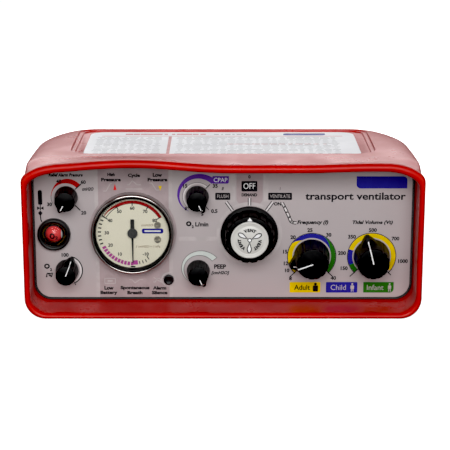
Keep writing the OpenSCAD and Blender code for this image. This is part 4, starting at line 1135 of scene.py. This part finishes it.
        p.path([(-102.0, 53.6), (-101.8, 51.0), (-101.3, 49.6)], 0.6, Ink.BLACK, 3)

    def _tags(self) -> None:
        """Prints the coloured tags."""
        p = self.sheet
        p.fill(rounded_box(74.1, 102.3, 69.1, 76.1, [2.4, 0.2, 2.4, 0.2], 6), Ink.BLUE, 3)
        p.fill(rounded_box(-5.9, 3.2, 71.9, 76.2, [0.2, 1.0, 0.2, 0.2], 5), Ink.PURPLE, 2)
        p.fill(rounded_box(37.6, 55.0, 7.9, 14.2, [0.6, 0.6, 0.6, 0.6], 4), Ink.YELLOW, 3)
        p.fill(rounded_box(58.1, 75.9, 7.9, 14.2, [0.6, 0.6, 0.6, 0.6], 4), Ink.BLUE, 3)
        p.fill(rounded_box(79.2, 96.4, 7.9, 14.2, [0.3, 2.2, 0.3, 0.3], 5), Ink.GREEN, 3)
        for x, ink, size in ((52.2, Ink.BLACK, 1.5), (73.0, Ink.FAINT, 1.0), (94.1, Ink.FAINT, 0.9)):
            p.disc((x, 13.0), 0.55 * size, ink, 4)
            p.fill(rounded_box(x - size, x + size, 8.5 if size > 1.2 else 10.0, 12.2, [0.45 * size] * 4, 4), ink, 4)
            if size < 1.2:
                for side in (-1, 1):
                    p.line((x + 0.4 * side, 10.4), (x + 0.5 * side, 8.5), 0.45, ink, 4)


class Gauge:
    """The airway pressure gauge: turned bezel, printed dial and needle."""

    def __init__(self) -> None:
        """Finds the gauge's middle and its dial."""
        self.at = centre_of("gauge_bezel")
        self.face = depths_of("gauge_dial")[0]
        self.front, self.back = depths_of("gauge_bezel")
        low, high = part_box("gauge_bezel")
        self.radius = (high.x - low.x) / 2 / MM

    def _bezel(self) -> None:
        """Turns the bright bezel and the black ring inside it."""
        r, f, b = self.radius, self.front, self.back
        profile = [(r - 1.7, b), (r - 1.7, f + 0.9), (r - 1.62, f + 0.5), (r - 1.5, f + 0.24), (r - 1.3, f + 0.06),
                   (r - 1.05, f), (r - 0.75, f + 0.08), (r - 0.45, f + 0.3), (r - 0.2, f + 0.65),
                   (r - 0.05, f + 1.1), (r, f + 1.5), (r, b - 0.35), (r - 0.12, b)]
        solid = Solid()
        lathe(solid, self.at, profile, closed=True, sides=160)
        settle(solid.build("gauge_rim", CHROME, 50), ROOT, CHROME, "gauge_bezel")
        inner = Solid()
        lathe(inner, self.at, [(r - 2.8, self.face), (r - 2.8, f + 0.95), (r - 2.7, f + 0.75), (r - 2.5, f + 0.66),
                               (r - 2.0, f + 0.5), (r - 1.72, f + 0.56), (r - 1.72, self.face)], closed=True, sides=128)
        settle(inner.build("gauge_inner_rim", KNOB, 50), ROOT, KNOB)

    def _dial(self) -> None:
        """Prints the scale, with ticks made by geometry nodes."""
        at, p = self.at, Print("dial_ink", self.face)
        for number in (-10, *range(10, 90, 10)):
            p.text(str(number), polar(at, 180 + 3 * number, 14.4), 2.0, Ink.BLACK, weight=0.03, layer=2)
        p.arc(at, 300, 420, 17.1, 0.35, Ink.BLACK, 2)
        p.fill(band(at, 303, 421, lambda t: 18.8, lambda t: mix(18.3, 17.1, smooth(0.0, 0.3, t))), Ink.RED, 3)
        for i in range(11):
            p.fill(band(at, 181.5 + 6 * i - 2.2, 181.5 + 6 * i + 2.4, lambda t: 19.2, lambda t: 17.0, 6), Ink.PINK, 2)
        p.fill(band(at, 171, 180, lambda t: 18.8, lambda t: 16.2, 8), Ink.PINK, 1)
        for number in (40, 50, 60, 70, 80, -10):
            angle = 180 + 3 * number
            p.line(polar(at, angle, 15.7), polar(at, angle, 18.0), 0.5, Ink.BLACK, 4)
        x, z = at
        p.text("cmH2O", (x + 8.2, z + 4.5), 1.3, Ink.BROWN, 6.6, 0.2, 0.01, layer=2)
        p.text("1 cmH2O = 1 hPa", (x + 8.6, z - 8.0), 1.35, Ink.BROWN, 13.4, 0.2, 0.01, layer=2)
        p.fill(rounded_box(x + 5.2, x + 17.2, z - 0.4, z + 2.5, [1.0] * 4, 5), Ink.BLUE, 2)
        p.fill(rounded_box(x + 6.6, x + 15.8, z + 0.6, z + 1.5, [0.4] * 4, 4), Ink.WHITE, 3)
        for side in (-1, 1):
            p.fill(rounded_box(x - 1.4, x + 1.4, z + side * 19.9 - 0.4, z + side * 19.9 + 0.4, [0.4] * 4, 4),
                   Ink.BLACK, 2)
        p.build(ROOT, DIAL.slot)
        where = Vector((x * MM, (FRONT_Y + self.face - 0.03) * MM, z * MM))
        finish = ink_finish(Ink.BLACK)
        for name, first, count, step, middle, width in (("bold", 250, 8, 7.2, 18.5, 0.00075),
                                                        ("fine", 302, 12, 3.6, 19.5, 0.0004),
                                                        ("below", 156, 3, 6.0, 17.9, 0.0005)):
            ticks = Marks.make("ticks", f"dial_ticks_{name}", finish, where, Count=count,
                               First=math.radians(first), Step=math.radians(step), Radius=middle * MM,
                               Length=1.8 * MM if name != "fine" else 0.9 * MM, Width=width, Depth=0.000012)
            settle(ticks, ROOT, finish)

    def _needle(self) -> None:
        """Builds the needle with its hub and balance tail."""
        x, z = self.at
        front, back = depths_of("gauge_pointer")
        blade = Solid()
        blade.prism([(x - 0.62, z), (x - 0.24, z - 17.3), (x, z - 17.6), (x + 0.24, z - 17.3), (x + 0.62, z),
                     (x + 1.05, z + 1), (x + 1.05, z + 8.1), (x - 1.05, z + 8.1), (x - 1.05, z + 1)],
                    front + 0.35, front + 0.7)
        settle(blade.build("gauge_needle_blade", NEEDLE, 30), "gauge_needle", NEEDLE, "gauge_pointer")
        hub = Solid()
        lathe(hub, self.at, [(0, back), (2.75, back), (2.8, back - 0.1), (2.8, front + 0.14), (2.68, front + 0.02),
                             (2.0, front), (1.9, front + 0.12), (0.6, front + 0.12), (0.5, front - 0.1),
                             (0.3, front - 0.16), (0, front - 0.18)], sides=64)
        settle(hub.build("gauge_needle_hub", HUB, 40), "gauge_needle", HUB)

    def build(self) -> None:
        """Builds the gauge."""
        self._bezel()
        self._dial()
        self._needle()


@dataclass(frozen=True)
class Knob:
    """A round pointer knob with a nose at its base and shallow flutes."""

    name: str
    body: str
    angle: float
    radius: float
    reach: float
    flutes: int
    mark_from: float

    def _outline(self, at: Point2, scale: float, nose: float, flute: float) -> list[Point2]:
        """Returns the outline at one level.

        Args:
            at: the knob's middle.
            scale: the body's radius as a share of its full radius.
            nose: share 0 to 1 of the nose.
            flute: depth of the flutes.
        """
        r = self.radius
        tip, foot = (0.09 * r, self.reach), (0.50 * r, 0.80 * r)
        dx, dz = foot[0] - tip[0], foot[1] - tip[1]
        outline = []
        for i in range(240):
            turn = math.radians(-180 + 1.5 * i)
            side, ahead = abs(math.sin(turn)), math.cos(turn)
            groove = max(0.0, math.cos(self.flutes * turn)) ** 3
            size = r * scale - flute * groove * (1 if abs(turn) > 0.5 else 0)
            if nose and abs(turn) < 0.6:
                edge = (tip[1] * dx - tip[0] * dz) / max(1e-6, ahead * dx - side * dz)
                edge = min(edge, self.reach / ahead)
                size += max(0.0, edge - size) * nose
            outline.append(polar(at, self.angle + math.degrees(turn), size))
        return outline

    def build(self) -> None:
        """Builds the knob and its white line."""
        at = centre_of(f"{self.name}_spindle")
        front, back = depths_of(f"{self.name}_knob")
        h = back - front
        levels = [(0.0, 0.985, 0.96, 0.0), (0.25, 1.0, 1.0, 0.0), (0.14 * h, 0.985, 1.0, 0.5), (0.36 * h, 0.955, 1.0, 1.0),
                  (0.43 * h, 0.945, 0.93, 1.0), (0.5 * h, 0.935, 0.45, 1.0), (0.58 * h, 0.925, 0.12, 1.0),
                  (0.66 * h, 0.915, 0.0, 1.0), (h - 0.8, 0.875, 0.0, 1.0), (h - 0.4, 0.865, 0.0, 0.8),
                  (h - 0.13, 0.845, 0.0, 0.4), (h, 0.80, 0.0, 0.2)]
        depth = 0.045 * self.radius
        solid = Solid()
        outlines = [self._outline(at, scale, nose, flute * depth) for _, scale, nose, flute in levels]
        solid.rings([[(x, back - level[0], z) for x, z in outline] for level, outline in zip(levels, outlines)])
        settle(solid.build(f"{self.name}_knob_moulding", KNOB, 32), self.body, KNOB, f"{self.name}_knob")
        flank = [(math.dist(at, outline[120]), back - level[0]) for level, outline in zip(levels, outlines)]
        self._mark(at, front, flank[5:])

    def _mark(self, at: Point2, front: float, flank: Sequence[Point2]) -> None:
        """Paints the white line over the face and down the flank.

        Args:
            at: the knob's middle.
            front: depth of its face.
            flank: radius and depth along the ridge, from the nose up to the face.
        """
        turn = math.radians(self.angle)
        half = 0.0225 * self.radius + 0.09
        course = [*flank, (self.mark_from * self.radius, front)]
        rings = []
        for i, (radius, depth) in enumerate(course):
            (r0, d0), (r1, d1) = course[max(0, i - 1)], course[min(len(course) - 1, i + 1)]
            length = math.hypot(r1 - r0, d1 - d0)
            out_r, out_d = (d0 - d1) / length, (r1 - r0) / length
            ring = []
            for side, lift in ((-half, -0.02), (half, -0.02), (half, 0.03), (-half, 0.03)):
                r, d = radius + out_r * lift, depth + out_d * lift
                ring.append((at[0] + r * math.sin(turn) + side * math.cos(turn), d,
                             at[1] + r * math.cos(turn) - side * math.sin(turn)))
            rings.append(ring)
        solid = Solid()
        solid.rings(rings)
        paint = ink_finish(Ink.WHITE)
        piece = solid.build(f"{self.name}_mark", paint)
        settle(piece, self.body, paint)


class Selector:
    """The large fluted selector with its white vented cap."""

    BODY = "selector_control"

    def __init__(self) -> None:
        """Finds the selector's middle and depths."""
        self.at = centre_of("selector_spindle")
        self.front, self.back = depths_of("selector_knob")
        self.cap_front, self.cap_back = depths_of("selector_cap")

    def _ring(self, depth: float, radius: float, flute: float) -> list[tuple[float, float, float]]:
        """Returns one level of the knob, with flutes that leave out the top."""
        ring = []
        for i in range(360):
            turn = math.radians(i)
            groove = max(0.0, math.cos(16 * turn)) ** 2
            size = radius - flute * groove * (1 if 0.25 < turn < math.tau - 0.25 else 0)
            x, z = polar(self.at, i, size)
            ring.append((x, depth, z))
        return ring

    def _knob(self) -> None:
        """Builds the skirt and the fluted body."""
        f, b = self.front, self.back
        levels = ((b, 15.9, 0), (b - 0.2, 16.1, 0), (b - 1.4, 16.1, 0), (b - 2.0, 15.9, 0), (b - 2.35, 15.4, 0),
                  (b - 2.5, 14.6, 0), (b - 2.9, 14.2, 0.3), (b - 3.8, 14.1, 0.8), (f + 2.2, 13.7, 0.9),
                  (f + 0.9, 13.55, 0.8), (f + 0.4, 13.35, 0.6), (f + 0.1, 13.0, 0.3), (f, 12.5, 0.1), (f, 10.75, 0),
                  (f + 0.15, 10.62, 0), (f + 1.15, 10.6, 0))
        solid = Solid()
        solid.rings([self._ring(*level) for level in levels])
        settle(solid.build("selector_moulding", KNOB, 32), self.BODY, KNOB, "selector_knob")
        mark = Print("selector_mark", f)
        x, z = self.at
        mark.fill([(x - 1.5, z + 10.95), (x + 1.5, z + 10.95), (x, z + 13.1)], Ink.WHITE)
        mark.build(self.BODY, WHITE_CAP.slot)

    def _cap(self) -> None:
        """Builds the cap with its raised rim and prints the vents."""
        f, b = self.cap_front, self.cap_back
        face = f + 0.28
        solid = Solid()
        lathe(solid, self.at, [(0, b), (10.4, b), (10.5, b - 0.1), (10.5, f + 0.35), (10.4, f + 0.1), (10.15, f),
                               (9.75, f), (9.5, f + 0.08), (9.3, face), (8.35, face), (8.2, face + 0.1),
                               (8.1, face + 0.1), (7.95, face), (0, face)], sides=128)
        settle(solid.build("selector_cap_moulding", WHITE_CAP, 35), self.BODY, WHITE_CAP, "selector_cap")
        p = Print("cap_ink", face)
        drop = [(0.25, 1.3), (0.5, 2.3), (1.0, 3.6), (1.35, 4.7), (1.4, 5.6), (1.15, 6.6), (0.6, 7.4), (0, 7.65)]
        for angle in (62, 182, 302):
            turn = math.radians(angle)
            c, s = math.cos(turn), math.sin(turn)
            for grow, ink, layer in ((1.0, Ink.BLACK, 1), (0.66, Ink.WHITE, 2)):
                half = [(w * grow if grow == 1 else max(0.06, w - 0.5), r if grow == 1 else 1.6 + (r - 1.3) * 0.9)
                        for w, r in drop]
                outline = half + [(-w, r) for w, r in reversed(half[:-1])]
                p.fill([(self.at[0] + w * c + r * s, self.at[1] - w * s + r * c) for w, r in outline], ink, layer)
        p.disc(self.at, 1.25, Ink.BLACK, 1)
        p.disc(self.at, 0.8, Ink.WHITE, 2)
        for start in (2, 122, 242):
            for i, letter in enumerate("VENT"):
                angle = start + 17 * (i - 1.5)
                p.text(letter, polar(self.at, angle, 5.7), 1.9, Ink.BLACK, weight=0.075, turn=angle, layer=3)
        p.build(self.BODY, WHITE_CAP.slot)

    def build(self) -> None:
        """Builds the selector."""
        self._knob()
        self._cap()


class SupplyIndicator:
    """The supply gas indicator: a two-coloured ball behind a clear dome in a black ring."""

    BALL_R = 5.0

    def __init__(self) -> None:
        """Finds the indicator's middle and the ball's depth."""
        self.at = centre_of("indicator_lens")
        low, high = depths_of("indicator_ball")
        self.ball_v = (low + high) / 2
        self.panel = depths_of("panel_overlay")[0]

    def _ring(self) -> None:
        """Turns the black ring round the dome."""
        p = self.panel
        solid = Solid()
        lathe(solid, self.at, [(7.0, p - 1.9), (7.0, p - 2.4), (7.2, p - 2.7), (7.7, p - 2.95), (8.3, p - 3.0),
                               (8.75, p - 2.85), (9.1, p - 2.4), (9.26, p - 1.8), (9.3, p - 1.2), (9.3, p - 0.02),
                               (7.6, p - 0.02), (7.6, p + 8.2), (6.6, p + 8.2), (6.6, p - 1.6)], closed=True)
        settle(solid.build("indicator_ring", BLACK, 40), ROOT, BLACK, "indicator_bezel")
        collar = Solid()
        lathe(collar, self.at, [(4.95, p - 0.6), (5.3, p - 1.0), (5.55, p - 1.0), (5.55, p - 0.1), (4.95, p - 0.1)],
              closed=True)
        settle(collar.build("indicator_collar", KNOB, 40), ROOT, KNOB)

    def _dome(self) -> None:
        """Builds the clear dome."""
        p = self.panel
        outer = [(6.3 * math.sin(math.radians(a)), p - 1.4 - 3.2 * math.cos(math.radians(a))) for a in range(0, 91, 5)]
        inner = [(5.6 * math.sin(math.radians(a)), p - 1.2 - 2.6 * math.cos(math.radians(a))) for a in range(90, -1, -5)]
        solid = Solid()
        lathe(solid, self.at, outer + [(6.55, p - 1.4), (6.55, p - 0.6), (5.6, p - 0.6)] + inner, sides=96)
        settle(solid.build("indicator_dome", DOME, 40), ROOT, DOME, "indicator_lens")

    def _ball(self) -> None:
        """Builds the ball in two colours: red over most of its face, white elsewhere, with a thin white crescent at the
        right edge of the face.
        """
        halves = {True: Solid(), False: Solid()}
        n, m = 48, 96
        x0, z0 = self.at
        def spot(i: int, j: int) -> tuple[float, float, float]:
            """Returns a point of the ball: i runs from its left pole to its right one."""
            tilt, turn = math.pi * i / n, math.tau * j / m
            r = self.BALL_R * math.sin(tilt)
            return (x0 - self.BALL_R * math.cos(tilt), self.ball_v - r * math.cos(turn), z0 + r * math.sin(turn))
        for i in range(n):
            for j in range(m):
                front = j < 20 or j >= m - 20
                red = front and i < 0.79 * n
                halves[red].extend([spot(i, j), spot(i + 1, j), spot(i + 1, j + 1), spot(i, j + 1)], [(0, 1, 2, 3)])
        white = halves[False].build("indicator_ball_pale", BALL_WHITE, 60)
        red = halves[True].build("indicator_ball_red", BALL_RED, 60)
        settle(red, "supply_indicator", BALL_RED, "indicator_ball")
        settle(white, "supply_indicator", BALL_WHITE)
        ink = ink_finish(Ink.BLACK)
        letters = Solid()
        ring = [(-0.8 + 1.05 * math.sin(math.radians(15 * k)), -0.5 + 1.3 * math.cos(math.radians(15 * k)))
                for k in range(25)]
        self._stroke(letters, ring, 0.9)
        two = [(1.0, -1.2), (1.25, -0.85), (1.65, -0.8), (1.95, -1.15), (1.8, -1.6), (1.4, -2.1), (1.05, -2.5),
               (1.55, -2.5), (2.1, -2.5)]
        self._stroke(letters, two, 0.6)
        piece = letters.build("indicator_letters", ink)
        settle(piece, "supply_indicator", ink)

    def _stroke(self, solid: Solid, path: Sequence[Point2], width: float) -> None:
        """Adds a painted stroke that follows the ball."""
        for (ax, az), (bx, bz) in zip(path[:-1], path[1:]):
            length = math.hypot(bx - ax, bz - az)
            nx, nz = (az - bz) / length * width / 2, (bx - ax) / length * width / 2
            ex, ez = (bx - ax) / length * 0.05, (bz - az) / length * 0.05
            corners = [(ax + nx - ex, az + nz - ez), (bx + nx + ex, bz + nz + ez),
                       (bx - nx + ex, bz - nz + ez), (ax - nx - ex, az - nz - ez)]
            rings = []
            for out in (0.01, 0.05):
                r = self.BALL_R + out
                rings.append([(self.at[0] + x, self.ball_v - math.sqrt(r * r - x * x - z * z), self.at[1] + z)
                              for x, z in corners])
            solid.rings(rings)

    def build(self) -> None:
        """Builds the indicator."""
        self._ring()
        self._dome()
        self._ball()


class SilenceButton:
    """The dished alarm silence button."""

    def build(self) -> None:
        """Builds the button in place of its plain node."""
        at = centre_of("silence_button")
        front, back = depths_of("silence_button")
        low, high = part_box("silence_button")
        r = (high.x - low.x) / 2 / MM
        face_back = front + 3.9
        solid = Solid()
        lathe(solid, at, [(0, back), (1.2, back), (1.2, face_back), (r, face_back), (r, front + 0.45), (r - 0.12, front + 0.15),
                          (r - 0.4, front), (r - 0.75, front + 0.03), (r - 1.4, front + 0.28), (r - 2.1, front + 0.42),
                          (0, front + 0.48)], sides=72)
        settle(solid.build("silence_button_moulding", BLACK, 40), "silence_key", BLACK, "silence_button")


class Finishes:
    """Gives every node that keeps its own mesh its finish."""

    BY_SLOT = {f.slot: f for f in (CASE_RED, BLACK, WHITE_CAP, OVERLAY, LABEL, SEAL, CHROME, GLASS, DIAL, NEEDLE,
                                   BRASS, SHAFT, STEEL, SHEET, BALL_RED, BOARD, LAMP, CELL, PORT, OUTLET, BLOCK, TUBE)}
    BY_NODE = {"gauge_dial_screws": DIAL_SCREW, "indicator_lens": DOME}

    @classmethod
    def apply(cls) -> None:
        """Sets the finishes by each node's slot."""
        slots = {part["node"]: part["material_slot"] for part in frame["record"]["subparts"]}
        for name, node in frame["nodes"].items():
            finish = cls.BY_NODE.get(name) or cls.BY_SLOT[slots[name]]
            node.data.materials.clear()
            node.data.materials.append(finish.material())


class Studio:
    """White backdrop, soft lights and the camera."""

    def build(self) -> None:
        """Builds the surroundings."""
        self._backdrop()
        self._lights()
        self._world()
        self._camera()
        scene = bpy.context.scene
        scene.view_settings.view_transform = "Standard"
        scene.view_settings.look = "None"
        scene.view_settings.use_curve_mapping = True
        scene.view_settings.curve_mapping.black_level = (0.014, 0.014, 0.014)
        scene.view_settings.curve_mapping.update()

    def _backdrop(self) -> None:
        """Builds a floor that sweeps up behind the part."""
        profile = [(-6.0, -0.0002), (1.2, -0.0002)]
        profile += [(1.2 + 1.2 * math.sin(math.radians(a)), 1.2 - 1.2 * math.cos(math.radians(a))) for a in range(9, 91, 9)]
        profile.append((2.4, 6.0))
        mesh = bpy.data.meshes.new("backdrop")
        points = [(x, y, z) for y, z in profile for x in (-6.0, 6.0)]
        mesh.from_pydata(points, [], [(2 * i, 2 * i + 1, 2 * i + 3, 2 * i + 2) for i in range(len(profile) - 1)])
        finish = Finish("backdrop_paper", (0.92, 0.92, 0.92), (0.92, 0.92, 0.92), None, roughness=(0.85, 0.9))
        backdrop = make_object("backdrop", mesh, finish, 60)
        self._flag(finish.material())

    @staticmethod
    def _flag(material: bpy.types.Material) -> None:
        """Shades the paper outside the frame, as black flags do, so that the part keeps its contrast."""
        graph = Graph(material.node_tree)
        shader = material.node_tree.nodes["Principled BSDF"]
        seen = graph.add("ShaderNodeMix", data_type="RGBA")
        seen.inputs["A"].default_value = (0.16, 0.16, 0.16, 1.0)
        seen.inputs["B"].default_value = (0.95, 0.95, 0.95, 1.0)
        rays = graph.add("ShaderNodeLightPath")
        graph.link(rays.outputs["Is Camera Ray"], seen.inputs["Factor"])
        graph.link(seen.outputs["Result"], shader.inputs["Base Color"])
        shader.inputs["Emission Color"].default_value = (1.0, 1.0, 1.0, 1.0)
        graph.link(graph.math("MULTIPLY", rays.outputs["Is Camera Ray"], 0.85), shader.inputs["Emission Strength"])

    def _area(self, name: str, place: Vector, target: Vector, size: tuple[float, float], power: float,
              color: Color = (1.0, 1.0, 1.0), seen: bool = False) -> None:
        """Adds one soft area light that looks at a point."""
        data = bpy.data.lights.new(name, "AREA")
        data.shape = "RECTANGLE"
        data.size, data.size_y = size
        data.energy = power
        data.color = color
        lamp = bpy.data.objects.new(name, data)
        lamp.location = place
        lamp.rotation_euler = (target - place).to_track_quat("-Z", "Y").to_euler()
        lamp.visible_camera = seen
        bpy.context.scene.collection.objects.link(lamp)

    def _lights(self) -> None:
        """Places the lights."""
        middle = Vector((0.0, 0.0, 0.05))
        self._area("key", Vector((0.0, -1.3, 0.88)), middle, (1.3, 0.6), 16.0)
        self._area("front_fill", Vector((0.0, -1.7, 0.50)), middle, (1.1, 0.3), 9.0)
        self._area("left_fill", Vector((-1.1, -0.9, 0.45)), middle, (0.5, 0.7), 1.4)
        self._area("right_fill", Vector((1.1, -0.9, 0.45)), middle, (0.5, 0.7), 1.4)
        self._area("top_back", Vector((0.0, 0.8, 0.40)), Vector((0.0, 0.05, 0.08)), (1.6, 0.45), 6.6)

    def _world(self) -> None:
        """Sets an even white surround."""
        world = bpy.data.worlds.new("surround")
        bpy.context.scene.world = world
        world.use_nodes = True
        graph = Graph(world.node_tree)
        back = world.node_tree.nodes["Background"]
        back.inputs["Color"].default_value = (1.0, 1.0, 1.0, 1.0)
        rays = graph.add("ShaderNodeLightPath")
        graph.link(graph.math("MULTIPLY_ADD", rays.outputs["Is Camera Ray"], 0.95, 0.10), back.inputs["Strength"])

    def _camera(self) -> None:
        """Places the camera in front of the panel and a little above it."""
        data = bpy.data.cameras.new("camera")
        data.sensor_width = 36.0
        data.lens = 137.2
        data.shift_x = 0.0042
        data.shift_y = -0.0011
        camera = bpy.data.objects.new("camera", data)
        camera.location = (0.0, -0.9685, 0.3285)
        camera.rotation_euler = (math.radians(90 - 17), 0.0, 0.0)
        bpy.context.scene.collection.objects.link(camera)
        bpy.context.scene.camera = camera


KNOBS = (
    Knob("relief", "relief_control", 207, 6.5, 8.9, 10, 0.36),
    Knob("oxygen", "oxygen_control", 21.6, 6.5, 8.9, 10, 0.0),
    Knob("cpap", "cpap_control", 155, 6.5, 8.9, 10, 0.36),
    Knob("peep", "peep_control", 155, 6.5, 8.9, 10, 0.36),
    Knob("frequency", "frequency_control", 250, 10.2, 13.2, 14, 0.0),
    Knob("volume", "volume_control", -14, 10.2, 13.2, 14, 0.0),
)


def main() -> None:
    """Builds every piece and the surroundings."""
    logging.basicConfig(level=logging.INFO, format="%(name)s: %(message)s")
    Finishes.apply()
    CaseShell().build()
    TopLabel().build()
    PanelPrint().build()
    Gauge().build()
    for knob in KNOBS:
        knob.build()
    Selector().build()
    SupplyIndicator().build()
    SilenceButton().build()
    Studio().build()


if __name__ == "__main__":
    main()
